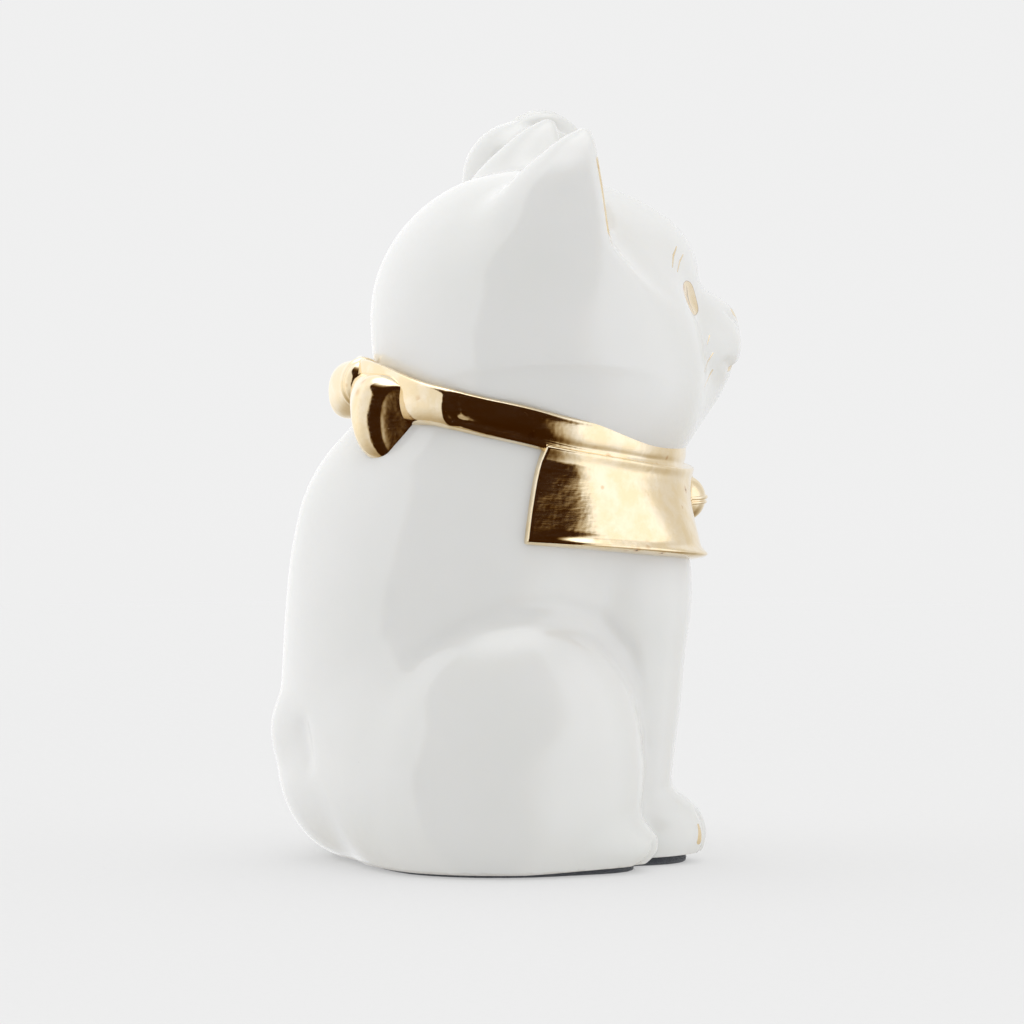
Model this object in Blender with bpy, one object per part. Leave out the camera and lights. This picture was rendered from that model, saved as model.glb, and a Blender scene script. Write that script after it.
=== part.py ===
"""Beckoning cat figurine in glazed porcelain with gilded ribbon, bib, bell and bow.

The cat sits facing -Y, +Z is up, its right side is -X and its raised left paw is +X.
The origin is the middle of the felt pad's underside. Lengths below are millimetres.
"""

import math

import bmesh
import bpy
from mathutils import Matrix, Vector

MM = 0.001
SEAM = 0.3              # slip seam left between neighbouring pieces
WALL = 3.2              # wall of the slip-cast castings
FELT_THICK = 1.0
FOOT_Z = FELT_THICK + SEAM
POUR_HOLE_R = 10.5      # hole in the foot, closed by the felt pad
NECK_Z = 54.9           # collar centre plane at y = 0
NECK_SLOPE = 0.22       # the collar rises towards the nape
COLLAR_HIGH = 5.4
COLLAR_THICK = 1.9
BIB_THICK = 1.5
BIB_RIM = 0.7           # extra thickness of the bib's rolled edge
BIB_HALF_ANGLE = 93.0   # degrees each side of the front
BELL_R = 2.9

# Torso sections: height, middle y, half depth, half width
TORSO = (
    (1.3, 4.2, 19.4, 20.0),
    (3.2, 4.8, 21.2, 21.6),
    (8.0, 5.6, 22.9, 22.6),
    (16.0, 5.9, 23.3, 22.8),
    (25.0, 5.5, 23.5, 22.5),
    (33.0, 4.7, 23.7, 22.3),
    (40.0, 3.5, 24.0, 22.1),
    (46.0, 2.7, 23.3, 22.0),
    (50.0, 1.9, 21.9, 21.0),
    (54.0, 0.1, 19.9, 19.8),
    (58.0, -1.4, 18.4, 19.2),
    (63.0, -2.0, 17.6, 18.8),
)


def clear_scene():
    for obj in list(bpy.data.objects):
        bpy.data.objects.remove(obj, do_unlink=True)


def finish(name, rgb, rough, metal=0.0, coat=0.0):
    mat = bpy.data.materials.new(name)
    mat.use_nodes = True
    bsdf = mat.node_tree.nodes["Principled BSDF"]
    bsdf.inputs["Base Color"].default_value = (*rgb, 1.0)
    bsdf.inputs["Roughness"].default_value = rough
    bsdf.inputs["Metallic"].default_value = metal
    bsdf.inputs["Coat Weight"].default_value = coat
    return mat


def to_object(name, bm):
    mesh = bpy.data.meshes.new(name)
    bmesh.ops.recalc_face_normals(bm, faces=bm.faces)
    bm.to_mesh(mesh)
    bm.free()
    obj = bpy.data.objects.new(name, mesh)
    bpy.context.scene.collection.objects.link(obj)
    return obj


def settle(obj):
    """Turn the modifiers of an object into plain mesh."""
    bpy.context.view_layer.update()
    graph = bpy.context.evaluated_depsgraph_get()
    mesh = bpy.data.meshes.new_from_object(obj.evaluated_get(graph))
    obj.modifiers.clear()
    old = obj.data
    obj.data = mesh
    bpy.data.meshes.remove(old)
    return obj


def drop(*objs):
    for obj in objs:
        bpy.data.objects.remove(obj, do_unlink=True)


def lump(bm, centre, semi, turn=(0.0, 0.0, 0.0), detail=3):
    """Add an ellipsoid turned by degrees about X, Y and Z."""
    rot = Matrix.Identity(4)
    for angle, axis in zip(turn, "XYZ"):
        rot = Matrix.Rotation(math.radians(angle), 4, axis) @ rot
    size = Matrix.Diagonal((*[s * MM for s in semi], 1.0))
    place = Matrix.Translation(Vector(centre) * MM) @ rot @ size
    bmesh.ops.create_icosphere(bm, subdivisions=detail, radius=1.0, matrix=place)


def stack(bm, sections, shrink=0.0, around=40):
    """Skin a column of elliptical sections and close both ends."""
    loops = []
    for z, mid, deep, wide in sections:
        ring = []
        for i in range(around):
            t = 2 * math.pi * i / around
            x = (wide - shrink) * math.cos(t)
            y = mid + (deep - shrink) * math.sin(t)
            ring.append(bm.verts.new((x * MM, y * MM, z * MM)))
        loops.append(ring)
    for low, high in zip(loops, loops[1:]):
        for i in range(around):
            j = (i + 1) % around
            bm.faces.new((low[i], low[j], high[j], high[i]))
    bm.faces.new(list(reversed(loops[0])))
    bm.faces.new(loops[-1])


def cone_between(bm, low, high, r_low, r_high, sides=20):
    """Add a tapering round bar with closed ends."""
    a = Vector(low) * MM
    b = Vector(high) * MM
    axis = b - a
    turn = axis.to_track_quat("Z", "Y").to_matrix().to_4x4()
    place = Matrix.Translation((a + b) / 2) @ turn
    bmesh.ops.create_cone(bm, cap_ends=True, cap_tris=False, segments=sides, radius1=r_low * MM,
                          radius2=r_high * MM, depth=axis.length, matrix=place)


def fuse(name, bm, voxel, faces, smooth=4):
    """Blend overlapping lumps into one skin with a modest number of faces."""
    obj = to_object(name, bm)
    mod = obj.modifiers.new("blend", "REMESH")
    mod.mode = "VOXEL"
    mod.voxel_size = voxel * MM
    soft = obj.modifiers.new("soften", "SMOOTH")
    soft.factor = 0.5
    soft.iterations = smooth
    settle(obj)
    tris = sum(len(p.vertices) - 2 for p in obj.data.polygons)
    thin = obj.modifiers.new("thin", "DECIMATE")
    thin.ratio = min(1.0, faces / tris)
    thin.use_collapse_triangulate = True
    return settle(obj)


def swollen(obj, grow=SEAM):
    """A copy whose surface stands out by one seam, for cutting a neighbour."""
    bm = bmesh.new()
    bm.from_mesh(obj.data)
    bm.normal_update()
    moves = [(v, v.normal * grow * MM) for v in bm.verts]
    for vert, step in moves:
        vert.co += step
    return to_object(obj.name + "_swollen", bm)


def combine(obj, other, operation):
    mod = obj.modifiers.new("cut", "BOOLEAN")
    mod.operation = operation
    mod.solver = "EXACT"
    mod.use_self = True
    mod.object = other
    settle(obj)
    return obj


def cut(obj, *cutters, keep=False):
    for cutter in cutters:
        combine(obj, cutter, "DIFFERENCE")
        if not keep:
            drop(cutter)
    return largest(obj)


def largest(obj):
    """Keep the biggest closed shell and weld its stray points."""
    bm = bmesh.new()
    bm.from_mesh(obj.data)
    bmesh.ops.remove_doubles(bm, verts=bm.verts, dist=0.00004)
    bmesh.ops.dissolve_degenerate(bm, edges=bm.edges, dist=0.00002)
    left = set(bm.faces)
    shells = []
    while left:
        todo = [left.pop()]
        shell = []
        while todo:
            face = todo.pop()
            shell.append(face)
            for edge in face.edges:
                for near in edge.link_faces:
                    if near in left:
                        left.discard(near)
                        todo.append(near)
        shells.append(shell)
    shells.sort(key=lambda s: sum(f.calc_area() for f in s))
    spare = [f for shell in shells[:-1] for f in shell]
    if spare:
        bmesh.ops.delete(bm, geom=spare, context="FACES")
    loose = [v for v in bm.verts if not v.link_faces]
    bmesh.ops.delete(bm, geom=loose, context="VERTS")
    bmesh.ops.recalc_face_normals(bm, faces=bm.faces)
    bm.to_mesh(obj.data)
    bm.free()
    return obj


def wedge(name, above, offset):
    """A big slab on one side of the tilted collar plane."""
    bm = bmesh.new()
    bmesh.ops.create_cube(bm, size=0.2)
    tilt = Matrix.Rotation(math.atan(NECK_SLOPE), 4, "X")
    middle = Matrix.Translation((0, 0, (NECK_Z + offset) * MM))
    side = Matrix.Translation((0, 0, 0.1 if above else -0.1))
    bmesh.ops.transform(bm, matrix=middle @ tilt @ side, verts=bm.verts)
    return to_object(name, bm)


def body_outer():
    """Torso, haunches, hind paws, forelegs and front paws as one closed skin."""
    bm = bmesh.new()
    stack(bm, TORSO)
    for side in (-1, 1):
        lump(bm, (side * 17.0, 2.8, 14.0), (11.7, 16.1, 18.8))
        lump(bm, (side * 20.6, -7.0, 4.4), (5.8, 7.6, 4.6))
        cone_between(bm, (side * 9.6, -12.8, 5.0), (side * 10.2, -13.3, 33.0), 6.1, 7.2)
        lump(bm, (side * 9.6, -14.6, 5.0), (6.8, 8.0, 5.4))
        lump(bm, (side * 10.2, -12.4, 33.0), (7.4, 8.1, 6.4))
    return cut(fuse("body_outer", bm, 1.1, 2400), below_foot())


def below_foot():
    """Everything under the flat foot, as a cutter."""
    bm = bmesh.new()
    bmesh.ops.create_cube(bm, size=0.12)
    bmesh.ops.translate(bm, verts=bm.verts, vec=(0, 0, FOOT_Z * MM - 0.06))
    return to_object("below_foot", bm)


def head_outer():
    """Skull, cheeks, muzzle, chin and ears as one closed skin."""
    bm = bmesh.new()
    lump(bm, (0, -2.2, 67.4), (21.5, 19.9, 18.3), detail=4)
    lump(bm, (0, -2.0, 61.0), (19.6, 18.0, 12.0), detail=4)
    lump(bm, (0, -13.6, 57.5), (10.5, 9.2, 7.5))
    lump(bm, (0, -18.2, 60.8), (7.2, 8.4, 4.8))
    lump(bm, (0, -20.0, 66.2), (5.0, 8.2, 4.6))
    for side in (-1, 1):
        lump(bm, (side * 4.0, -19.4, 65.0), (6.6, 8.4, 5.0))
        lump(bm, (side * 10.5, -10.5, 62.5), (9.8, 9.5, 9.0))
    obj = to_object("head_lumps", bm)
    for side in (-1, 1):
        part = ear(side)
        combine(obj, part, "UNION")
        drop(part)
    bm = copy_of(obj)
    drop(obj)
    return fuse("head_outer", bm, 0.9, 2200, smooth=3)


def ear(side):
    """A rounded ear with a flat front that is hollowed a little."""
    bm = bmesh.new()
    lump(bm, (side * 12.8, -5.6, 79.0), (8.6, 7.2, 9.0))
    lump(bm, (side * 13.6, -6.0, 85.2), (5.0, 6.4, 7.0))
    shell = to_object("ear_lumps", bm)
    mod = shell.modifiers.new("blend", "REMESH")
    mod.mode = "VOXEL"
    mod.voxel_size = 0.8 * MM
    settle(shell)
    bm = bmesh.new()
    bmesh.ops.create_cube(bm, size=0.03)
    turn = Matrix.Rotation(math.radians(10), 4, "X")
    bmesh.ops.transform(bm, matrix=turn, verts=bm.verts)
    bmesh.ops.translate(bm, verts=bm.verts, vec=Vector((side * 13.0, -24.0, 84.0)) * MM)
    cut(shell, to_object("front_flat", bm))
    bm = bmesh.new()
    lump(bm, (side * 13.2, -9.6, 83.2), (4.4, 2.4, 6.0), turn=(10, 0, 0))
    return cut(shell, to_object("hollow", bm))


def body_casting(outer, clay):
    """Thin-walled body, open at the neck and at the pour hole in the foot."""
    obj = to_object("body_casting", copy_of(outer))
    inner = bmesh.new()
    core = [(FOOT_Z + WALL, 3.0, 16.0, 15.5)]
    core += [(z, m, d - WALL, w - WALL) for z, m, d, w in TORSO if FOOT_Z + WALL + 3 < z < 50]
    core += [(52.0, 0.5, 14.0, 13.5), (66.0, -1.0, 12.5, 12.5)]
    stack(inner, core, around=28)
    hole = bmesh.new()
    cone_between(hole, (0, 3, -2), (0, 3, FOOT_Z + WALL + 2), POUR_HOLE_R, POUR_HOLE_R, sides=28)
    combine(obj, wedge("neck_cut", True, -SEAM / 2), "DIFFERENCE")
    drop(bpy.data.objects["neck_cut"])
    cut(obj, to_object("core", inner), to_object("pour_hole", hole))
    return dress(obj, clay)


def head_casting(outer, clay):
    """Thin-walled head, open at the neck."""
    obj = to_object("head_casting", copy_of(outer))
    inner = bmesh.new()
    lump(inner, (0, -2.2, 67.4), (21.5 - WALL, 19.9 - WALL, 18.3 - WALL))
    neck = bmesh.new()
    cone_between(neck, (0, -1, 46), (0, -1, 64), 12.5, 12.5, sides=28)
    cut(obj, wedge("neck_cut", False, SEAM / 2), to_object("core", inner), to_object("neck", neck))
    return dress(obj, clay)


def copy_of(obj):
    bm = bmesh.new()
    bm.from_mesh(obj.data)
    return bm


def raised_arm(body, head, clay):
    """Left foreleg lifted beside the ear, with the toes curled forward."""
    bm = bmesh.new()
    cone_between(bm, (21.0, -6.0, 40.0), (23.6, -4.6, 62.0), 6.4, 5.7)
    cone_between(bm, (23.6, -4.6, 61.0), (23.2, -4.6, 82.0), 5.7, 5.6)
    lump(bm, (20.6, -6.2, 40.5), (6.6, 7.4, 7.4))
    lump(bm, (23.6, -4.6, 61.5), (5.8, 5.8, 5.8))
    lump(bm, (22.8, -5.0, 83.5), (6.2, 7.8, 7.8))
    for k in (-1, 0, 1):
        lump(bm, (22.8 + 3.6 * k, -10.2, 82.4), (2.4, 4.2, 4.6))
    obj = fuse("raised_arm", bm, 0.9, 760, smooth=3)
    cut(obj, swollen(body), swollen(head))
    return dress(obj, clay)


def tail(body, clay):
    """Short tail lying up the middle of the back."""
    bm = bmesh.new()
    lump(bm, (0, 23.4, 7.4), (6.6, 5.0, 5.8))
    lump(bm, (0, 25.2, 14.6), (5.4, 5.6, 7.4))
    obj = fuse("tail", bm, 0.7, 360, smooth=2)
    cut(obj, swollen(body), below_foot())
    return dress(obj, clay)


def section_at(z):
    for low, high in zip(TORSO, TORSO[1:]):
        if low[0] <= z <= high[0]:
            k = (z - low[0]) / (high[0] - low[0])
            return [a + (b - a) * k for a, b in zip(low[1:], high[1:])]
    return list(TORSO[-1][1:])


def collar_band(body, head, arm, gilt):
    """Padded ribbon round the neck with a small roll along its lower edge."""
    around = 56
    mid, deep, wide = -0.9, 19.0, 19.6
    half = COLLAR_HIGH / 2
    profile = (
        (-1.6, half - 0.5), (0.5, half), (COLLAR_THICK - 0.3, half * 0.62), (COLLAR_THICK, 0.0),
        (COLLAR_THICK - 0.4, -half * 0.42), (COLLAR_THICK - 0.1, -half * 0.72),
        (1.0, -half), (-1.6, -half + 0.5),
    )
    bm = bmesh.new()
    loops = []
    for i in range(around):
        t = 2 * math.pi * i / around
        c, s = math.cos(t), math.sin(t)
        ring = []
        for out, up in profile:
            y = mid + (deep + out) * s
            z = NECK_Z + NECK_SLOPE * y + up
            ring.append(bm.verts.new(((wide + out) * c * MM, y * MM, z * MM)))
        loops.append(ring)
    for i in range(around):
        a, b = loops[i], loops[(i + 1) % around]
        for j in range(len(profile)):
            k = (j + 1) % len(profile)
            bm.faces.new((a[j], b[j], b[k], a[k]))
    obj = to_object("collar_band", bm)
    cut(obj, swollen(body), swollen(head), swollen(arm))
    return dress(obj, gilt)


def bib(body, collar, arm, gilt):
    """Apron round the front of the chest with a rolled rim at its sides and foot."""
    cols, rows = 30, 9
    bm = bmesh.new()
    fronts, backs = [], []
    for j in range(rows + 1):
        v = j / rows
        front, back = [], []
        for i in range(cols + 1):
            w = 2 * i / cols - 1
            t = math.radians(-90 + w * BIB_HALF_ANGLE)
            foot = 37.0 + 3.9 * abs(w) ** 3
            z_top = NECK_Z + NECK_SLOPE * (0.8 + 21.0 * math.sin(t)) - 1.2
            z = z_top + (foot - z_top) * v
            mid, deep, wide = section_at(z)
            edge = max(1.0 if j >= rows - 1 and j > 0 else 0.0, 1.0 if i < 2 or i > cols - 2 else 0.0)
            out = BIB_THICK + BIB_RIM * edge
            for ring, r in ((front, out), (back, -1.4)):
                x = (wide + r) * math.cos(t)
                y = mid + (deep + r) * math.sin(t)
                ring.append(bm.verts.new((x * MM, y * MM, z * MM)))
        fronts.append(front)
        backs.append(back)
    for j in range(rows):
        for i in range(cols):
            bm.faces.new((fronts[j][i], fronts[j + 1][i], fronts[j + 1][i + 1], fronts[j][i + 1]))
            bm.faces.new((backs[j][i], backs[j][i + 1], backs[j + 1][i + 1], backs[j + 1][i]))
    for i in range(cols):
        bm.faces.new((fronts[0][i], fronts[0][i + 1], backs[0][i + 1], backs[0][i]))
        bm.faces.new((fronts[rows][i], backs[rows][i], backs[rows][i + 1], fronts[rows][i + 1]))
    for j in range(rows):
        bm.faces.new((fronts[j][0], backs[j][0], backs[j + 1][0], fronts[j + 1][0]))
        bm.faces.new((fronts[j][cols], fronts[j + 1][cols], backs[j + 1][cols], backs[j][cols]))
    obj = to_object("bib", bm)
    cut(obj, swollen(body), swollen(collar), swollen(arm))
    return dress(obj, gilt)


def bell(body, bib_piece, gilt):
    """Round bell pressed against the middle of the bib, with a belt and a slot."""
    bm = bmesh.new()
    bmesh.ops.create_uvsphere(bm, u_segments=24, v_segments=14, radius=BELL_R * MM)
    bmesh.ops.translate(bm, verts=bm.verts, vec=Vector((0, -21.3, 44.8)) * MM)
    obj = to_object("bell", bm)
    belt = bmesh.new()
    cone_between(belt, (0, -21.3, 44.4), (0, -21.3, 45.2), BELL_R + 0.35, BELL_R + 0.35, sides=24)
    ring = to_object("belt", belt)
    combine(obj, ring, "UNION")
    slot = bmesh.new()
    bmesh.ops.create_cube(slot, size=0.001)
    bmesh.ops.scale(slot, verts=slot.verts, vec=(0.6, 3.0, 2.2))
    bmesh.ops.translate(slot, verts=slot.verts, vec=Vector((0, -24.4, 42.9)) * MM)
    drop(ring)
    cut(obj, to_object("slot", slot), swollen(body), swollen(bib_piece))
    return dress(obj, gilt)


def bow(body, head, collar, gilt):
    """Knot at the nape with two plump loops that droop to the cat's right."""
    bm = bmesh.new()
    lump(bm, (0, 18.6, 58.4), (2.5, 3.1, 3.1), detail=2)
    knot = to_object("bow_knot", bm)
    cut(knot, swollen(body), swollen(head), swollen(collar))
    dress(knot, gilt)
    for name, centre, semi, droop in (
        ("bow_loop_right", (-8.2, 18.4, 55.8), (7.0, 3.7, 5.2), -24),
        ("bow_loop_left", (8.0, 18.6, 58.6), (6.6, 3.3, 3.8), 4),
    ):
        bm = bmesh.new()
        side = math.copysign(1, centre[0])
        lump(bm, centre, semi, turn=(0, droop, side * -14))
        loop = to_object(name, bm)
        cut(loop, swollen(body), swollen(head), swollen(collar), swollen(knot))
        dress(loop, gilt)


def felt_pad(outer, cloth):
    """Flat pad that follows the outline of the foot."""
    obj = to_object("felt_pad", copy_of(outer))
    slab = bmesh.new()
    bmesh.ops.create_cube(slab, size=0.2)
    bmesh.ops.scale(slab, verts=slab.verts, vec=(1, 1, FELT_THICK * MM / 0.2))
    bmesh.ops.translate(slab, verts=slab.verts, vec=(0, 0, (2.0 + FELT_THICK / 2) * MM))
    sheet = to_object("sheet", slab)
    combine(obj, sheet, "INTERSECT")
    drop(sheet)
    bm = copy_of(obj)
    outline = [v.co.copy() for v in bm.verts if v.co.z < 2.001 * MM]
    bm.free()
    drop(obj)
    outline = ordered(outline, 56)
    bm = bmesh.new()
    low = [bm.verts.new((p.x, p.y, 0)) for p in outline]
    high = [bm.verts.new((p.x, p.y, FELT_THICK * MM)) for p in outline]
    bm.faces.new(list(reversed(low)))
    bm.faces.new(high)
    for i in range(len(low)):
        j = (i + 1) % len(low)
        bm.faces.new((low[i], low[j], high[j], high[i]))
    return dress(to_object("felt_pad", bm), cloth)


def ordered(points, count):
    """Outermost points by direction round the middle, evenly spaced in angle."""
    middle = Vector((0, 3 * MM, 0))
    found = []
    for i in range(count):
        t = 2 * math.pi * i / count
        aim = Vector((math.cos(t), math.sin(t), 0))
        near = [p for p in points if (p - middle).xy.normalized().dot(aim.xy) > 0.99]
        reach = max((p - middle).xy.length for p in near)
        found.append(middle + aim * reach * 0.985)
    return found


def dress(obj, mat):
    obj.data.materials.clear()
    obj.data.materials.append(mat)
    for poly in obj.data.polygons:
        poly.use_smooth = True
    obj.data.set_sharp_from_angle(angle=math.radians(38))
    return obj


def main():
    clear_scene()
    clay = finish("white_glaze", (0.86, 0.86, 0.84), 0.12, coat=0.5)
    gilt = finish("gold_lustre", (0.83, 0.60, 0.26), 0.18, metal=1.0)
    cloth = finish("felt", (0.06, 0.065, 0.075), 0.95)
    body_solid = body_outer()
    head_solid = head_outer()
    body_casting(body_solid, clay)
    head_casting(head_solid, clay)
    arm = raised_arm(body_solid, head_solid, clay)
    tail(body_solid, clay)
    collar = collar_band(body_solid, head_solid, arm, gilt)
    bib_piece = bib(body_solid, collar, arm, gilt)
    bell(body_solid, bib_piece, gilt)
    bow(body_solid, head_solid, collar, gilt)
    felt_pad(body_solid, cloth)
    drop(body_solid, head_solid)


main()
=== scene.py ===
"""Gilded porcelain beckoning cat: the finished look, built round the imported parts."""

import logging
import math
from dataclasses import dataclass
from enum import Enum
from typing import Callable, Iterable, Sequence

import bmesh
import bpy
import numpy as np
from mathutils import Matrix, Vector


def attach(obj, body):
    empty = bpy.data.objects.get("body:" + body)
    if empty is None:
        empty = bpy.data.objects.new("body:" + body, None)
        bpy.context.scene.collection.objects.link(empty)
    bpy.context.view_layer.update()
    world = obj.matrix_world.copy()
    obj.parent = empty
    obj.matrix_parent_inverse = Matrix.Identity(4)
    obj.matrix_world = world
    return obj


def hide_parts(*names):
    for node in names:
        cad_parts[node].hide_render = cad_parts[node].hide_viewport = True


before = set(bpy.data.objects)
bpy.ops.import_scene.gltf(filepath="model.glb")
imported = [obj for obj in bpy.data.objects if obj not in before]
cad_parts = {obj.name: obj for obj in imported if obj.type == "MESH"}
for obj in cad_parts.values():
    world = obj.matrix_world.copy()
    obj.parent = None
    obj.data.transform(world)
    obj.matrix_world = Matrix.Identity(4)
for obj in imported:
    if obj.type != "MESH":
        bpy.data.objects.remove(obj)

LOG = logging.getLogger("beckoning_cat")
MM = 0.001
Triple = tuple[float, float, float]
Colour = tuple[float, float, float, float]


class Plane(Enum):
    """The way a painted mark is laid on a curved face."""

    FRONT = (1.0, 0.0, 1.0)
    SIDE = (0.0, 1.0, 1.0)
    SPACE = (1.0, 1.0, 1.0)


# --------------------------------------------------------------------------
# Modelling helpers
# --------------------------------------------------------------------------

SECTION_STEP = 0.8
COLUMN_SIDES = 72
LUMP_ROUNDNESS = 5
TINY = 1e-9


def turns(count: int) -> list[float]:
    """Directions spaced evenly round a circle.

    Args:
        count: How many there are.

    Returns:
        The angles, in radians.
    """
    return [2 * math.pi * i / count for i in range(count)]


@dataclass(frozen=True)
class Lump:
    """One rounded mass of clay, in millimetres."""

    centre: Triple
    semi: Triple
    melt: float = 2.5
    paired: bool = False
    turn: float = 0.0

    def add_to(self, bm: bmesh.types.BMesh) -> None:
        """Model the lump, and its mirror image if it is one of a pair.

        Args:
            bm: The mesh that receives it.
        """
        for side in (1, -1) if self.paired else (1,):
            middle = Vector((side * self.centre[0], self.centre[1], self.centre[2])) * MM
            size = Matrix.Diagonal((*[s * MM for s in self.semi], 1.0))
            turn = Matrix.Rotation(math.radians(self.turn), 4, "X")
            place = Matrix.Translation(middle) @ turn @ size
            bmesh.ops.create_icosphere(bm, subdivisions=LUMP_ROUNDNESS, radius=1.0, matrix=place)

    def distance(self, places: np.ndarray) -> np.ndarray:
        """How far points lie outside the lump.

        Args:
            places: Points in millimetres, one a row.

        Returns:
            The signed distance of each, nearly exact close to the surface.
        """
        found = places.copy()
        if self.paired:
            found[:, 0] = np.abs(found[:, 0])
        found -= np.array(self.centre)
        if self.turn:
            angle = math.radians(self.turn)
            c, s = math.cos(angle), math.sin(angle)
            y, z = found[:, 1].copy(), found[:, 2].copy()
            found[:, 1], found[:, 2] = c * y + s * z, c * z - s * y
        scaled = found / np.array(self.semi)
        reach = np.linalg.norm(scaled, axis=1) + TINY
        slope = np.linalg.norm(scaled / np.array(self.semi), axis=1) + TINY
        return reach * (reach - 1.0) / slope


@dataclass(frozen=True)
class Column:
    """A column of oval sections, in millimetres: height, middle x and y, half width and depth."""

    rows: tuple[tuple[float, ...], ...]
    melt: float = 2.5
    paired: bool = False

    def table(self) -> np.ndarray:
        """The sections at close spacing.

        Returns:
            One section a row.
        """
        return np.array(curve_through(self.rows, SECTION_STEP))

    def distance(self, places: np.ndarray) -> np.ndarray:
        """How far points lie outside the column.

        Args:
            places: Points in millimetres, one a row.

        Returns:
            The signed distance of each, nearly exact close to the surface.
        """
        table = self.table()
        x = np.abs(places[:, 0]) if self.paired else places[:, 0]
        z = places[:, 2]
        cx, cy, wide, deep = (np.interp(z, table[:, 0], table[:, k]) for k in range(1, 5))
        qx, qy = (x - cx) / wide, (places[:, 1] - cy) / deep
        reach = np.hypot(qx, qy) + TINY
        side = reach * (reach - 1.0) / (np.hypot(qx / wide, qy / deep) + TINY)
        return np.maximum(side, np.maximum(z - table[-1, 0], table[0, 0] - z))

    def add_to(self, bm: bmesh.types.BMesh, clip: Callable[[Vector], Vector] | None = None) -> None:
        """Model the column, and its mirror image if it is one of a pair.

        Args:
            bm: The mesh that receives it.
            clip: Moves each point of the surface, if given.
        """
        for side in (1, -1) if self.paired else (1,):
            rings = []
            for z, cx, cy, wide, deep in self.table():
                ring = []
                for t in turns(COLUMN_SIDES):
                    spot = Vector((cx + wide * math.cos(t), cy + deep * math.sin(t), z))
                    spot = clip(spot) if clip else spot
                    ring.append(Vector((side * spot.x, spot.y, spot.z)))
                rings.append(ring)
            skin_rings(bm, rings)


def melt_join(a: np.ndarray, b: np.ndarray, melt: float) -> np.ndarray:
    """Join two forms with a soft fillet.

    Args:
        a: Distances to one form.
        b: Distances to the other.
        melt: Width of the fillet, in millimetres.

    Returns:
        Distances to both together.
    """
    near = np.maximum(melt - np.abs(a - b), 0.0) / melt
    return np.minimum(a, b) - near * near * melt * 0.25


@dataclass(frozen=True)
class Groove:
    """A soft line pressed into the clay, or raised if its depth is negative."""

    points: Sequence[Triple]
    depth: float
    width: float
    plane: Plane = Plane.SPACE
    paired: bool = True
    keep: Callable[[np.ndarray], np.ndarray] | None = None

    def depth_at(self, places: np.ndarray) -> np.ndarray:
        """How far each point sinks.

        Args:
            places: Points in millimetres, one a row.

        Returns:
            The depth of each point, in millimetres.
        """
        mask = np.array(self.plane.value)
        found = places.copy()
        if self.paired:
            found[:, 0] = np.abs(found[:, 0])
        flat = found * mask
        line = np.array(self.points) * mask
        best = np.full(len(places), np.inf)
        for a, b in zip(line, line[1:]):
            run = b - a
            along = np.clip(((flat - a) @ run) / max(run @ run, TINY), 0, 1)
            best = np.minimum(best, np.linalg.norm(flat - a - along[:, None] * run, axis=1))
        sunk = self.depth * np.exp(-((best / self.width) ** 2))
        return sunk * self.keep(found) if self.keep else sunk


class Clay:
    """Melts forms into one smooth closed skin."""

    settle_rounds: int = 5
    probe: float = 0.04
    longest_step: float = 0.6
    least_slope: float = 0.25

    def __init__(self, name: str, voxel: float) -> None:
        """Start a skin.

        Args:
            name: The name of the finished piece.
            voxel: Fineness of the skin, in millimetres.
        """
        self.name = name
        self.voxel = voxel
        self.bm = bmesh.new()
        self.forms: list[Lump | Column | Ear] = []

    def add(self, forms: Iterable["Lump | Column | Ear"]) -> "Clay":
        """Add forms, each melted into those before it.

        Args:
            forms: The forms, which overlap.

        Returns:
            The same clay.
        """
        for form in forms:
            form.add_to(self.bm)
            self.forms.append(form)
        return self

    def distance(self, places: np.ndarray) -> np.ndarray:
        """How far points lie outside the melted forms.

        Args:
            places: Points in millimetres, one a row.

        Returns:
            The signed distance of each.
        """
        total = self.forms[0].distance(places)
        for form in self.forms[1:]:
            total = melt_join(total, form.distance(places), form.melt)
        return total

    def fire(self) -> bpy.types.Object:
        """Make the skin.

        Returns:
            The object, with plain mesh and no modifiers.
        """
        obj = as_object(self.name, self.bm)
        blend = obj.modifiers.new("blend", "REMESH")
        blend.mode = "VOXEL"
        blend.voxel_size = self.voxel * MM
        soften(obj, 6)
        places = places_of(obj)
        for _ in range(self.settle_rounds):
            value = np.clip(self.distance(places), -self.longest_step, self.longest_step)
            slope = self.slope(places)
            size = np.maximum((slope**2).sum(axis=1), self.least_slope)
            places = places - slope * (value / size)[:, None]
        put_places(obj, places)
        return soften(obj, 3)

    def slope(self, places: np.ndarray) -> np.ndarray:
        """How the distance to the forms changes along each axis.

        Args:
            places: Points in millimetres, one a row.

        Returns:
            The slope at each point.
        """
        found = np.empty_like(places)
        for k in range(3):
            shift = np.zeros(3)
            shift[k] = self.probe
            ahead, behind = self.distance(places + shift), self.distance(places - shift)
            found[:, k] = (ahead - behind) / (2 * self.probe)
        return found


def as_object(name: str, bm: bmesh.types.BMesh, smooth: bool = True) -> bpy.types.Object:
    """Turn a mesh under construction into an object in the scene.

    Args:
        name: The object's name.
        bm: The mesh, which is freed.
        smooth: Whether its faces are shaded smooth.

    Returns:
        The new object.
    """
    bmesh.ops.recalc_face_normals(bm, faces=bm.faces)
    for face in bm.faces:
        face.smooth = smooth
    mesh = bpy.data.meshes.new(name)
    bm.to_mesh(mesh)
    bm.free()
    obj = bpy.data.objects.new(name, mesh)
    bpy.context.scene.collection.objects.link(obj)
    return obj


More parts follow.
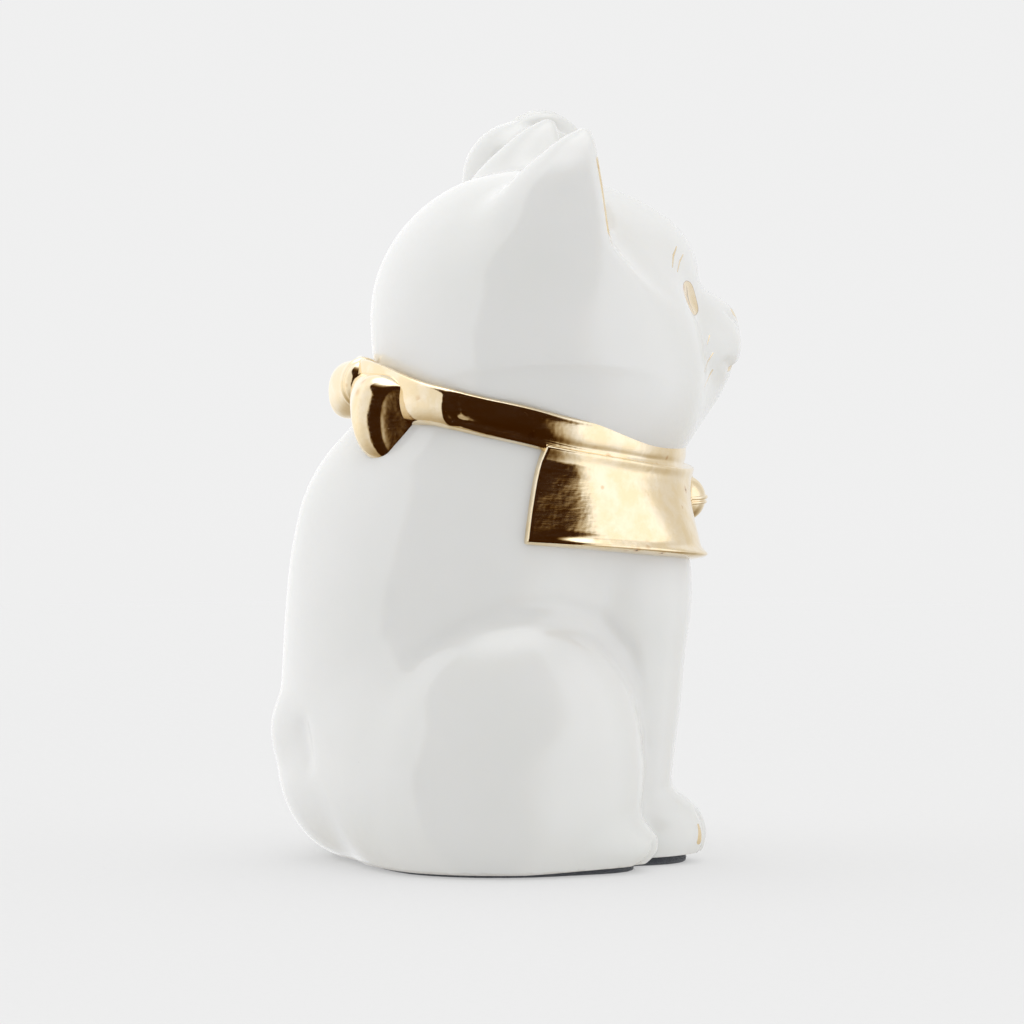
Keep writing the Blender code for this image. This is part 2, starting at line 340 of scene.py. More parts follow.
def settle(obj: bpy.types.Object) -> bpy.types.Object:
    """Turn an object's modifiers into plain mesh.

    Args:
        obj: The object.

    Returns:
        The same object.
    """
    bpy.context.view_layer.update()
    graph = bpy.context.evaluated_depsgraph_get()
    mesh = bpy.data.meshes.new_from_object(obj.evaluated_get(graph))
    old = obj.data
    obj.modifiers.clear()
    obj.data = mesh
    bpy.data.meshes.remove(old)
    mesh.name = obj.name
    for poly in mesh.polygons:
        poly.use_smooth = True
    return obj


def soften(obj: bpy.types.Object, rounds: int) -> bpy.types.Object:
    """Even out a skin.

    Args:
        obj: The skin.
        rounds: How often it is smoothed.

    Returns:
        The same skin, with plain mesh.
    """
    soft = obj.modifiers.new("soften", "SMOOTH")
    soft.factor = 0.5
    soft.iterations = rounds
    return settle(obj)


def places_of(obj: bpy.types.Object) -> np.ndarray:
    """Read an object's points.

    Args:
        obj: The object.

    Returns:
        Its points in millimetres, one a row.
    """
    flat = np.empty(len(obj.data.vertices) * 3)
    obj.data.vertices.foreach_get("co", flat)
    return flat.reshape(-1, 3) / MM


def put_places(obj: bpy.types.Object, places: np.ndarray) -> None:
    """Write an object's points.

    Args:
        obj: The object.
        places: Its points in millimetres, one a row.
    """
    obj.data.vertices.foreach_set("co", (places * MM).ravel())
    obj.data.update()


def normals_of(obj: bpy.types.Object) -> np.ndarray:
    """Read the outward direction at each point.

    Args:
        obj: The object.

    Returns:
        Unit vectors, one a row.
    """
    flat = np.empty(len(obj.data.vertices) * 3)
    obj.data.vertex_normals.foreach_get("vector", flat)
    return flat.reshape(-1, 3)


def carve(obj: bpy.types.Object, grooves: Iterable[Groove]) -> None:
    """Press grooves into a skin.

    Args:
        obj: The skin.
        grooves: What is pressed in.
    """
    places = places_of(obj)
    sunk = sum(groove.depth_at(places) for groove in grooves)
    put_places(obj, places - normals_of(obj) * sunk[:, None])


def hand_wobble(obj: bpy.types.Object, size: float) -> None:
    """Give a cast surface its slight unevenness.

    Args:
        obj: The piece.
        size: How far the surface strays, in millimetres.
    """
    p = places_of(obj)
    wave = (
        np.sin(p[:, 0] * 0.31 + 1.3 * np.sin(p[:, 2] * 0.17))
        + np.sin(p[:, 1] * 0.27 + 0.8 + 1.1 * np.sin(p[:, 0] * 0.21))
        + np.sin(p[:, 2] * 0.35 + 2.1 + 0.9 * np.sin(p[:, 1] * 0.23))
    ) / 3
    put_places(obj, p + normals_of(obj) * (wave * size)[:, None])


def slice_off(obj: bpy.types.Object, spot: Triple, outward: Triple) -> None:
    """Slice a skin flat and close the cut.

    Args:
        obj: The skin.
        spot: A point on the cut, in millimetres.
        outward: The way the sliced-off side lies.
    """
    bm = bmesh.new()
    bm.from_mesh(obj.data)
    bmesh.ops.bisect_plane(
        bm, geom=[*bm.verts, *bm.edges, *bm.faces], plane_co=Vector(spot) * MM,
        plane_no=outward, clear_outer=True,
    )
    bmesh.ops.holes_fill(bm, edges=[e for e in bm.edges if e.is_boundary])
    flat = [f for f in bm.faces if len(f.verts) > 8]
    bmesh.ops.triangulate(bm, faces=flat)
    bmesh.ops.recalc_face_normals(bm, faces=bm.faces)
    for face in bm.faces:
        face.smooth = face.normal.z > -0.99
    bm.to_mesh(obj.data)
    bm.free()


def curve_through(rows: Sequence[Sequence[float]], step: float) -> list[list[float]]:
    """Fill in a smooth run of values between given ones.

    Args:
        rows: Values at a few heights, the height first.
        step: Spacing of the filled heights.

    Returns:
        One row of values for each filled height.
    """
    table = np.array(rows, float)
    z = table[:, 0]
    slope = np.gradient(table, z, axis=0)
    found = []
    for low in range(len(z) - 1):
        span = z[low + 1] - z[low]
        count = max(1, int(round(span / step)))
        for i in range(count + (low == len(z) - 2)):
            t = i / count
            a, b = 2 * t**3 - 3 * t**2 + 1, t**3 - 2 * t**2 + t
            c, d = -2 * t**3 + 3 * t**2, t**3 - t**2
            start = a * table[low] + b * span * slope[low]
            row = start + c * table[low + 1] + d * span * slope[low + 1]
            found.append(row.tolist())
    return found


def skin_rings(bm: bmesh.types.BMesh, rings: list[list[Vector]], close_ends: bool = True) -> None:
    """Join rings of points into a closed tube.

    Args:
        bm: The mesh that receives the tube.
        rings: Rings with equal numbers of points, in millimetres.
        close_ends: Whether the ends are closed, or else joined to each other.
    """
    loops = [[bm.verts.new(p * MM) for p in ring] for ring in rings]
    count = len(loops[0])
    pairs = list(zip(loops, loops[1:]))
    if not close_ends:
        pairs.append((loops[-1], loops[0]))
    for low, high in pairs:
        for i in range(count):
            j = (i + 1) % count
            bm.faces.new((low[i], low[j], high[j], high[i]))
    if close_ends:
        for ring, p in ((loops[0], rings[0]), (loops[-1], rings[-1])):
            hub = bm.verts.new(sum(p, Vector()) / count * MM)
            for i in range(count):
                bm.faces.new((ring[i], ring[(i + 1) % count], hub))


# --------------------------------------------------------------------------
# Shader helpers
# --------------------------------------------------------------------------

ORIGIN = (0.0, 0.0, 0.0)
TO_MM = 1000.0


class Graph:
    """Short ways to add and join shader nodes in one tree."""

    def __init__(self, tree: bpy.types.NodeTree) -> None:
        """Work on a tree.

        Args:
            tree: The material's, world's or group's tree.
        """
        self.tree = tree

    def node(self, kind: str, **settings: object) -> bpy.types.Node:
        """Add a node.

        Args:
            kind: Its Blender type, without the leading "ShaderNode".
            **settings: Its properties.

        Returns:
            The node.
        """
        made = self.tree.nodes.new(kind if kind.startswith("Node") else "ShaderNode" + kind)
        for key, value in settings.items():
            setattr(made, key, value)
        return made

    def feed(self, socket: bpy.types.NodeSocket, value: object) -> None:
        """Link a socket or give it a constant.

        Args:
            socket: The input.
            value: Another node's output, or a number, vector or colour.
        """
        if isinstance(value, bpy.types.NodeSocket):
            self.tree.links.new(value, socket)
        elif value is not None:
            socket.default_value = value

    def math(self, kind: str, *values: object, clamp: bool = False) -> bpy.types.NodeSocket:
        """Add arithmetic.

        Args:
            kind: The operation.
            *values: One to three numbers or outputs.
            clamp: Whether the result is kept from 0 to 1.

        Returns:
            The result.
        """
        made = self.node("Math", operation=kind, use_clamp=clamp)
        for socket, value in zip(made.inputs, values):
            self.feed(socket, value)
        return made.outputs[0]

    def vector(self, kind: str, *values: object, scale: float | None = None) -> bpy.types.NodeSocket:
        """Add vector arithmetic.

        Args:
            kind: The operation.
            *values: Vectors or outputs.
            scale: The factor of a SCALE operation.

        Returns:
            The resulting vector, or the value of DOT_PRODUCT and LENGTH.
        """
        made = self.node("VectorMath", operation=kind)
        for socket, value in zip(made.inputs, values):
            self.feed(socket, value)
        if scale is not None:
            made.inputs["Scale"].default_value = scale
        return made.outputs["Value" if kind in ("DOT_PRODUCT", "LENGTH", "DISTANCE") else "Vector"]

    def ramp(
        self, value: object, low: object, high: object, a: object = 0.0, b: object = 1.0
    ) -> bpy.types.NodeSocket:
        """Map a value smoothly from one span to another.

        Args:
            value: The input.
            low: The input that gives a.
            high: The input that gives b.
            a: Result at and below low.
            b: Result at and above high.

        Returns:
            The mapped value.
        """
        made = self.node("MapRange", interpolation_type="SMOOTHSTEP")
        names = ("Value", "From Min", "From Max", "To Min", "To Max")
        for name, item in zip(names, (value, low, high, a, b)):
            self.feed(made.inputs[name], item)
        return made.outputs[0]

    def fade(self, value: object, low: object, high: object) -> bpy.types.NodeSocket:
        """Map a value smoothly from 1 down to 0.

        Args:
            value: The input.
            low: Where it starts to fall.
            high: Where it has reached 0.

        Returns:
            The mapped value.
        """
        return self.ramp(value, low, high, 1.0, 0.0)

    def band(
        self, value: object, start: object, full: object, waning: object, end: object
    ) -> bpy.types.NodeSocket:
        """Pick out a soft-edged band of a value.

        Args:
            value: The input.
            start: Where the band starts.
            full: Where it has reached 1.
            waning: Where it starts to fall.
            end: Where it has reached 0.

        Returns:
            1 in the band and 0 outside it.
        """
        return self.math("MULTIPLY", self.ramp(value, start, full), self.fade(value, waning, end))

    def scaled(self, value: object, factor: float) -> bpy.types.NodeSocket:
        """Multiply a value.

        Args:
            value: The input.
            factor: What it is multiplied by.

        Returns:
            The product.
        """
        return self.math("MULTIPLY", value, factor)

    def blend(self, factor: object, a: object, b: object) -> bpy.types.NodeSocket:
        """Mix two colours.

        Args:
            factor: 0 gives a and 1 gives b.
            a: A colour or output.
            b: A colour or output.

        Returns:
            The mixed colour.
        """
        made = self.node("Mix", data_type="RGBA")
        self.feed(made.inputs[0], factor)
        self.feed(made.inputs[6], a)
        self.feed(made.inputs[7], b)
        return made.outputs[2]

    def noise(
        self, vector: object, scale: float, detail: float = 2.0, rough: float = 0.5
    ) -> bpy.types.NodeSocket:
        """Add cloudy noise.

        Args:
            vector: Where it is read.
            scale: Its frequency.
            detail: How many octaves it has.
            rough: How strong the finer octaves are.

        Returns:
            A value near 0 to 1.
        """
        made = self.node("TexNoise")
        self.feed(made.inputs["Vector"], vector)
        made.inputs["Scale"].default_value = scale
        made.inputs["Detail"].default_value = detail
        made.inputs["Roughness"].default_value = rough
        return made.outputs[0]

    def cells(self, vector: object, scale: float) -> bpy.types.Node:
        """Add scattered cells.

        Args:
            vector: Where they are read.
            scale: Their frequency.

        Returns:
            The node, with Distance and Color outputs.
        """
        made = self.node("TexVoronoi")
        self.feed(made.inputs["Vector"], vector)
        made.inputs["Scale"].default_value = scale
        return made

    def group(self, tree: bpy.types.NodeTree, **values: object) -> bpy.types.Node:
        """Use a node group.

        Args:
            tree: The group.
            **values: Its inputs, with underscores for the blanks in their names.

        Returns:
            The group node.
        """
        made = self.node("Group", node_tree=tree)
        for key, value in values.items():
            self.feed(made.inputs[key.replace("_", " ")], value)
        return made


def new_group(
    name: str, inputs: dict[str, object], outputs: Sequence[str]
) -> tuple[Graph, bpy.types.Node, bpy.types.Node]:
    """Start a node group with named sockets.

    Args:
        name: The group's name.
        inputs: Each input's name with its default, a number or a vector.
        outputs: The names of the value outputs; one ending in "Color" is a colour.

    Returns:
        The group's graph, its input node and its output node.
    """
    tree = bpy.data.node_groups.new(name, "ShaderNodeTree")
    for key, value in inputs.items():
        kind = "NodeSocketFloat" if isinstance(value, float) else "NodeSocketVector"
        socket = tree.interface.new_socket(key, in_out="INPUT", socket_type=kind)
        socket.default_value = value
    for key in outputs:
        kind = "NodeSocketColor" if key.endswith("Color") else "NodeSocketFloat"
        tree.interface.new_socket(key, in_out="OUTPUT", socket_type=kind)
    graph = Graph(tree)
    return graph, graph.node("NodeGroupInput"), graph.node("NodeGroupOutput")


def stroke_group() -> bpy.types.NodeTree:
    """A brush stroke from A to B that may taper.

    Returns:
        A group whose Mask is 1 on the stroke.
    """
    ends = {"Point": ORIGIN, "A": ORIGIN, "B": (0.0, 0.0, 1.0)}
    sizes = {"Width A": 0.3, "Width B": 0.3, "Soft": 0.05}
    g, start, end = new_group("Painted stroke", ends | sizes, ["Mask"])
    into = start.outputs
    away = g.vector("SUBTRACT", into["Point"], into["A"])
    run = g.vector("SUBTRACT", into["B"], into["A"])
    reach, whole = g.vector("DOT_PRODUCT", away, run), g.vector("DOT_PRODUCT", run, run)
    along = g.math("DIVIDE", reach, whole, clamp=True)
    scaled = g.node("VectorMath", operation="SCALE")
    g.feed(scaled.inputs[0], run)
    g.feed(scaled.inputs["Scale"], along)
    gap = g.vector("LENGTH", g.vector("SUBTRACT", away, scaled.outputs[0]))
    gain = g.math("SUBTRACT", into["Width B"], into["Width A"])
    wide = g.math("MULTIPLY_ADD", gain, along, into["Width A"])
    rest = g.math("SUBTRACT", wide, gap)
    g.feed(end.inputs["Mask"], g.ramp(rest, g.math("MULTIPLY", into["Soft"], -1.0), into["Soft"]))
    return g.tree


def oval_group() -> bpy.types.NodeTree:
    """An oval patch.

    Returns:
        A group whose Reach is 1 on the rim and less inside.
    """
    places = {"Point": ORIGIN, "Centre": ORIGIN, "Radii": (1.0, 1.0, 1.0)}
    g, start, end = new_group("Painted oval", places, ["Reach"])
    away = g.vector("SUBTRACT", start.outputs["Point"], start.outputs["Centre"])
    g.feed(end.inputs["Reach"], g.vector("LENGTH", g.vector("DIVIDE", away, start.outputs["Radii"])))
    return g.tree


@dataclass(frozen=True)
class GlazeCoat:
    """How a fired clear glaze varies; scales are features in a millimetre."""

    pooling: float = 0.05
    speck_scale: float = 0.16
    specks_above: float = 0.8
    least_speck: float = 0.008
    speck_spread: float = 0.012
    haze_scale: float = 1.4
    glossy: float = 0.06
    dull: float = 0.13
    peel_scale: float = 0.55
    peel: float = 0.6
    wave_scale: float = 0.12
    wave: float = 1.6
    speck_pit: float = 0.5

    def group(self) -> bpy.types.NodeTree:
        """Make the node group.

        Returns:
            A group with Tone (pooling), Specks, Roughness and Height.
        """
        outputs = ["Tone", "Specks", "Roughness", "Height"]
        g, start, end = new_group("Fired glaze", {"Point": ORIGIN}, outputs)
        point = start.outputs["Point"]
        pool = g.noise(point, self.pooling, 3.0)
        g.feed(end.inputs["Tone"], g.ramp(pool, 0.3, 0.7))
        cells = g.cells(point, self.speck_scale)
        pick = g.node("SeparateColor")
        g.feed(pick.inputs[0], cells.outputs["Color"])
        chosen = g.math("GREATER_THAN", pick.outputs[0], self.specks_above)
        size = g.math("MULTIPLY_ADD", pick.outputs[1], self.speck_spread, self.least_speck)
        specks = g.math("MULTIPLY", chosen, g.fade(cells.outputs["Distance"], 0.0, size))
        g.feed(end.inputs["Specks"], specks)
        haze = g.noise(point, self.haze_scale, 2.0)
        g.feed(end.inputs["Roughness"], g.ramp(haze, 0.25, 0.75, self.glossy, self.dull))
        peel = g.scaled(g.noise(point, self.peel_scale, 2.0), self.peel)
        wave = g.scaled(g.noise(point, self.wave_scale, 1.0), self.wave)
        relief = g.math("ADD", peel, wave)
        g.feed(end.inputs["Height"], g.math("SUBTRACT", relief, g.scaled(specks, self.speck_pit)))
        return g.tree


@dataclass(frozen=True)
class LustreFilm:
    """A brushed-on gold lustre; scales are features in a millimetre."""

    deep_gold: Colour = (0.95, 0.78, 0.51, 1.0)
    pale_gold: Colour = (1.0, 0.87, 0.66, 1.0)
    burnt_halo: Colour = (0.62, 0.31, 0.10, 1.0)
    burnt_fleck: Colour = (0.70, 0.38, 0.14, 1.0)
    open_bubble: Colour = (0.06, 0.03, 0.015, 1.0)
    cloud_scale: float = 0.35
    bubble_scale: float = 0.62
    bubbles_above: float = 0.86
    least_bubble: float = 0.05
    bubble_spread: float = 0.16
    fleck_scale: float = 5.5
    brush_scale: float = 1.1
    drag: Triple = (0.5, 0.5, 3.2)
    swell_scale: float = 0.5

    def group(self) -> bpy.types.NodeTree:
        """Make the node group.

        Returns:
            A group with Color, Roughness, Height and Bare, where the film has broken.
        """
        outputs = ["Color", "Roughness", "Height", "Bare"]
        g, start, end = new_group("Gold lustre", {"Point": ORIGIN}, outputs)
        point = start.outputs["Point"]
        cloud = g.noise(point, self.cloud_scale, 4.0, 0.6)
        gold = g.blend(g.ramp(cloud, 0.35, 0.7), self.deep_gold, self.pale_gold)
        cells = g.cells(point, self.bubble_scale)
        pick = g.node("SeparateColor")
        g.feed(pick.inputs[0], cells.outputs["Color"])
        chosen = g.math("GREATER_THAN", pick.outputs[0], self.bubbles_above)
        size = g.math("MULTIPLY_ADD", pick.outputs[1], self.bubble_spread, self.least_bubble)
        away = cells.outputs["Distance"]
        hole = g.math("MULTIPLY", chosen, g.fade(away, g.scaled(size, 0.45), size))
        halo = g.math("MULTIPLY", chosen, g.fade(away, size, g.scaled(size, 2.6)))
        fleck = g.ramp(g.noise(point, self.fleck_scale, 3.0, 0.7), 0.66, 0.74)
        patchy = g.ramp(g.noise(point, 0.22, 2.0), 0.5, 0.62)
        flecks = g.math("MULTIPLY", fleck, patchy)
        burnt = g.blend(g.scaled(halo, 0.45), gold, self.burnt_halo)
        burnt = g.blend(flecks, burnt, self.burnt_fleck)
        g.feed(end.inputs["Color"], g.blend(hole, burnt, self.open_bubble))
        brush = g.noise(g.vector("MULTIPLY", point, self.drag), self.brush_scale, 3.0, 0.6)
        rough = g.ramp(brush, 0.3, 0.75, 0.05, 0.14)
        dulled = g.scaled(g.math("MAXIMUM", hole, flecks), 0.3)
        g.feed(end.inputs["Roughness"], g.math("ADD", rough, dulled))
        swell = g.scaled(g.noise(point, self.swell_scale, 2.0), 1.1)
        relief = g.math("MULTIPLY_ADD", brush, 0.16, swell)
        g.feed(end.inputs["Height"], g.math("SUBTRACT", relief, g.scaled(hole, 0.6)))
        g.feed(end.inputs["Bare"], hole)
        return g.tree


@dataclass(frozen=True)
class Blank:
    """A new material, with its own graph and the point being shaded, in millimetres."""

    mat: bpy.types.Material
    graph: Graph
    bsdf: bpy.types.Node
    point: bpy.types.NodeSocket

    @classmethod
    def named(cls, name: str) -> "Blank":
        """Start a material.

        Args:
            name: The material's name.

        Returns:
            The blank.
        """
        mat = bpy.data.materials.new(name)
        mat.use_nodes = True
        g = Graph(mat.node_tree)
        point = g.vector("SCALE", g.node("TexCoord").outputs["Object"], scale=TO_MM)
        return cls(mat, g, mat.node_tree.nodes["Principled BSDF"], point)

    def feed(self, **values: object) -> None:
        """Set the finish's inputs.

        Args:
            **values: The inputs, with underscores for the blanks in their names.
        """
        for key, value in values.items():
            self.graph.feed(self.bsdf.inputs[key.replace("_", " ")], value)

    def relief(self, height: bpy.types.NodeSocket, strength: float, depth: float) -> None:
        """Give the finish its fine relief.

        Args:
            height: The relief.
            strength: How much of it shows.
            depth: How deep it is, in metres.
        """
        bump = self.graph.node("Bump")
        bump.inputs["Strength"].default_value = strength
        bump.inputs["Distance"].default_value = depth
        self.graph.feed(bump.inputs["Height"], height)
        self.feed(Normal=bump.outputs[0])


@dataclass(frozen=True)
class Stroke:
    """One painted mark, in millimetres; its mirror image is painted too."""

    a: Triple
    b: Triple
    wide_a: float
    wide_b: float
    plane: Plane


@dataclass(frozen=True)
class Oval:
    """An oval painted patch, in millimetres."""

    centre: Triple
    radii: Triple


class Paints:
    """The shared node groups, made once."""

    def __init__(self) -> None:
        """Make the groups."""
        self.stroke = stroke_group()
        self.oval = oval_group()
        self.glaze = GlazeCoat().group()
        self.lustre = LustreFilm().group()


EAR_TIP_Y = -7.3
EAR_TIP_Z = 91.9
EAR_LEAN = 0.105


@dataclass(frozen=True)
class GlazedPorcelain:
    """White porcelain under clear glaze, with gilded marks."""

    name: str
    strokes: tuple[Stroke, ...] = ()
    eye: Oval | None = None
    ears: bool = False
    front_only: float = -15.0
    slit: Triple = (0.26, 1.0, 1.5)
    ear_lining: Oval = Oval((14.6, 0.0, 82.2), (6.6, 1.0, 6.4))
    ear_bowl: Oval = Oval((13.5, -9.6, 83.4), (4.9, 3.3, 6.7))
    ear_root: float = 76.8
    thin_glaze: Colour = (0.865, 0.868, 0.845, 1.0)
    full_glaze: Colour = (0.895, 0.893, 0.878, 1.0)
    foot_shade: Colour = (0.80, 0.815, 0.78, 1.0)
    iron_speck: Colour = (0.42, 0.36, 0.28, 1.0)
    dry_clay: Colour = (0.70, 0.68, 0.64, 1.0)
    eye_line: Colour = (0.50, 0.36, 0.22, 1.0)

    def brushed(
        self, g: Graph, paints: Paints, spot: bpy.types.NodeSocket, mark: Stroke
    ) -> bpy.types.NodeSocket:
        """Paint one stroke.

        Args:
            g: The material's graph.
            paints: The shared node groups.
            spot: The point being shaded, brought to the left side.
            mark: The stroke.

        Returns:
            1 on the stroke.
        """
        on = Vector(mark.plane.value)
        return g.group(
            paints.stroke, Point=g.vector("MULTIPLY", spot, mark.plane.value),
            A=tuple(Vector(mark.a) * on), B=tuple(Vector(mark.b) * on),
            Width_A=mark.wide_a, Width_B=mark.wide_b,
        ).outputs[0]

    def reach(
        self, g: Graph, paints: Paints, spot: bpy.types.NodeSocket, centre: Triple, radii: Triple
    ) -> bpy.types.NodeSocket:
        """Measure how far out in an oval a point lies, seen from the front.

        Args:
            g: The material's graph.
            paints: The shared node groups.
            spot: The point being shaded, brought to the left side.
            centre: The oval's middle.
            radii: Its radii.

        Returns:
            1 on the rim and less inside.
        """
        mask = Plane.FRONT.value
        flat = g.vector("MULTIPLY", spot, mask)
        middle = tuple(Vector(centre) * Vector(mask))
        return g.group(paints.oval, Point=flat, Centre=middle, Radii=radii).outputs[0]

    def lining(
        self, g: Graph, paints: Paints, spot: bpy.types.NodeSocket,
        y: bpy.types.NodeSocket, z: bpy.types.NodeSocket,
    ) -> bpy.types.NodeSocket:
        """Gild the hollow fronts of the ears.

        Args:
            g: The material's graph.
            paints: The shared node groups.
            spot: The point being shaded, brought to the left side.
            y: Its y.
            z: Its height.

        Returns:
            1 where the ears are lined.
        """
        face = g.math("MULTIPLY_ADD", z, EAR_LEAN, EAR_TIP_Y - EAR_LEAN * EAR_TIP_Z)
        ahead_of = g.math("SUBTRACT", face, y)
        clear = g.fade(ahead_of, 0.25, 0.5)
        front = g.math("MULTIPLY", g.ramp(ahead_of, -0.5, -0.35), clear)
        bowl = g.group(
            paints.oval, Point=spot, Centre=self.ear_bowl.centre, Radii=self.ear_bowl.radii
        ).outputs[0]
        front = g.math("MAXIMUM", front, g.fade(bowl, 1.0, 1.05))
        front = g.math("MULTIPLY", front, clear)
        reach = self.reach(g, paints, spot, self.ear_lining.centre, self.ear_lining.radii)
        lined = g.math("MULTIPLY", front, g.fade(reach, 1.0, 1.05))
        return g.math("MULTIPLY", lined, g.ramp(z, self.ear_root, self.ear_root + 0.8))

    def build(self, paints: Paints) -> bpy.types.Material:
        """Make the material.

        Args:
            paints: The shared node groups.

        Returns:
            The material.
        """
        blank = Blank.named(self.name)
        g, point = blank.graph, blank.point
        split = g.node("SeparateXYZ")
        g.feed(split.inputs[0], point)
        x, y, z = split.outputs
        glaze = g.group(paints.glaze, Point=point)
        lustre = g.group(paints.lustre, Point=point)
        mirrored = g.node("CombineXYZ")
        for i, item in enumerate((g.math("ABSOLUTE", x), y, z)):
            g.feed(mirrored.inputs[i], item)
        spot = mirrored.outputs[0]
        gilt = dark = g.scaled(x, 0.0)
        ahead = g.ramp(y, self.front_only, self.front_only - 0.5, 0.0, 1.0)
        for mark in self.strokes:
            brushed = self.brushed(g, paints, spot, mark)
            gilt = g.math("MAXIMUM", gilt, g.math("MULTIPLY", brushed, ahead))
        if self.eye:
            reach = self.reach(g, paints, spot, self.eye.centre, self.eye.radii)
            inside = g.math("MULTIPLY", g.fade(reach, 1.0, 1.03), ahead)
            gilt = g.math("MAXIMUM", gilt, inside)
            ring = g.band(reach, 0.98, 1.02, 1.02, 1.05)
            slit = self.reach(g, paints, spot, self.eye.centre, self.slit)
            ring = g.math("MAXIMUM", ring, g.fade(slit, 0.92, 1.08))
            dark = g.math("MULTIPLY", ring, ahead)
        if self.ears:
            gilt = g.math("MAXIMUM", gilt, self.lining(g, paints, spot, y, z))
        tone = g.blend(glaze.outputs["Tone"], self.thin_glaze, self.full_glaze)
        tone = g.blend(g.ramp(z, 1.0, 12.0, 0.18, 0.0), tone, self.foot_shade)
        tone = g.blend(glaze.outputs["Specks"], tone, self.iron_speck)
        ragged = g.math("MULTIPLY_ADD", g.noise(point, 0.8), 0.5, z)
        dry = g.ramp(ragged, 0.95, 1.15, 0.7, 0.0)
        tone = g.blend(dry, tone, self.dry_clay)
        tone = g.blend(gilt, tone, lustre.outputs["Color"])
        tone = g.blend(dark, tone, self.eye_line)
        metal = g.math("SUBTRACT", gilt, g.scaled(dark, 0.8), clamp=True)
        rough = g.math("ADD", glaze.outputs["Roughness"], g.scaled(dry, 0.5))
        rough = g.math("MULTIPLY_ADD", gilt, 0.10, rough)
        blank.feed(Base_Color=tone, Metallic=metal, Roughness=rough, Coat_Weight=0.35, Coat_Roughness=0.03)
        blank.feed(Subsurface_Weight=0.12, Subsurface_Radius=(1.0, 0.9, 0.75), Subsurface_Scale=0.0012)
        height = g.math("MULTIPLY_ADD", gilt, 0.25, glaze.outputs["Height"])
        blank.relief(height, 0.22, 0.00012)
        return blank.mat


@dataclass(frozen=True)
class GiltRelief:
    """Raised porcelain that is gilded all over."""

    name: str

    def build(self, paints: Paints) -> bpy.types.Material:
        """Make the material.

        Args:
            paints: The shared node groups.

        Returns:
            The material.
        """
        blank = Blank.named(self.name)
        lustre = blank.graph.group(paints.lustre, Point=blank.point).outputs
        metal = blank.graph.ramp(lustre["Bare"], 0.0, 1.0, 1.0, 0.2)
        blank.feed(Base_Color=lustre["Color"], Metallic=metal, Roughness=lustre["Roughness"])
        blank.relief(lustre["Height"], 0.35, 0.00012)
        return blank.mat


@dataclass(frozen=True)
class Felt:
    """Dark pressed felt."""

    name: str
    deep: Colour = (0.030, 0.036, 0.050, 1.0)
    lit: Colour = (0.105, 0.115, 0.135, 1.0)
    worn: Colour = (0.17, 0.17, 0.18, 1.0)

    def build(self) -> bpy.types.Material:
        """Make the material.

        Returns:
            The material.
        """
        blank = Blank.named(self.name)
        g = blank.graph
        fibre = g.noise(g.vector("MULTIPLY", blank.point, (1.0, 1.0, 2.4)), 4.2, 5.0, 0.75)
        tuft = g.noise(blank.point, 0.9, 3.0)
        colour = g.blend(g.ramp(fibre, 0.3, 0.7), self.deep, self.lit)
        colour = g.blend(g.ramp(tuft, 0.55, 0.8, 0.0, 0.5), colour, self.worn)
        blank.feed(Base_Color=colour, Roughness=0.95, Sheen_Weight=0.4, Sheen_Roughness=0.5)
        blank.relief(fibre, 0.9, 0.0003)
        return blank.mat


# --------------------------------------------------------------------------
# The pieces
# --------------------------------------------------------------------------

TORSO = Column((
    (-3.0, 0.0, 2.4, 17.0, 15.6),
    (0.0, 0.0, 2.6, 19.4, 17.6),
    (1.6, 0.0, 3.2, 20.5, 19.2),
    (4.0, 0.0, 4.1, 21.6, 20.9),
    (9.0, 0.0, 5.5, 22.4, 23.0),
    (16.0, 0.0, 5.9, 22.5, 23.4),
    (25.0, 0.0, 5.5, 22.0, 23.7),
    (33.0, 0.0, 4.7, 21.9, 23.9),
    (40.0, 0.0, 3.5, 21.9, 24.2),
    (46.0, 0.0, 2.6, 21.4, 23.5),
    (50.0, 0.0, 1.7, 20.7, 22.1),
    (54.0, 0.0, 0.1, 19.8, 20.1),
    (58.0, 0.0, -1.4, 19.2, 18.5),
    (63.0, 0.0, -2.0, 18.6, 17.6),
))
TORSO_TABLE = TORSO.table()
NECK_Z = 54.9
NECK_SLOPE = 0.22
FOOT_Z = 0.48
FOOT_MIDDLE_Y = 3.0
TOE_LIFT = 0.035


def chest_at(height: float) -> tuple[float, float, float]:
    """The torso's section at a height.

    Args:
        height: The height, in millimetres.

    Returns:
        The middle's y, half the depth and half the width.
    """
    heights = TORSO_TABLE[:, 0]
    mid, wide, deep = (float(np.interp(height, heights, TORSO_TABLE[:, k])) for k in (2, 3, 4))
    return mid, deep, wide


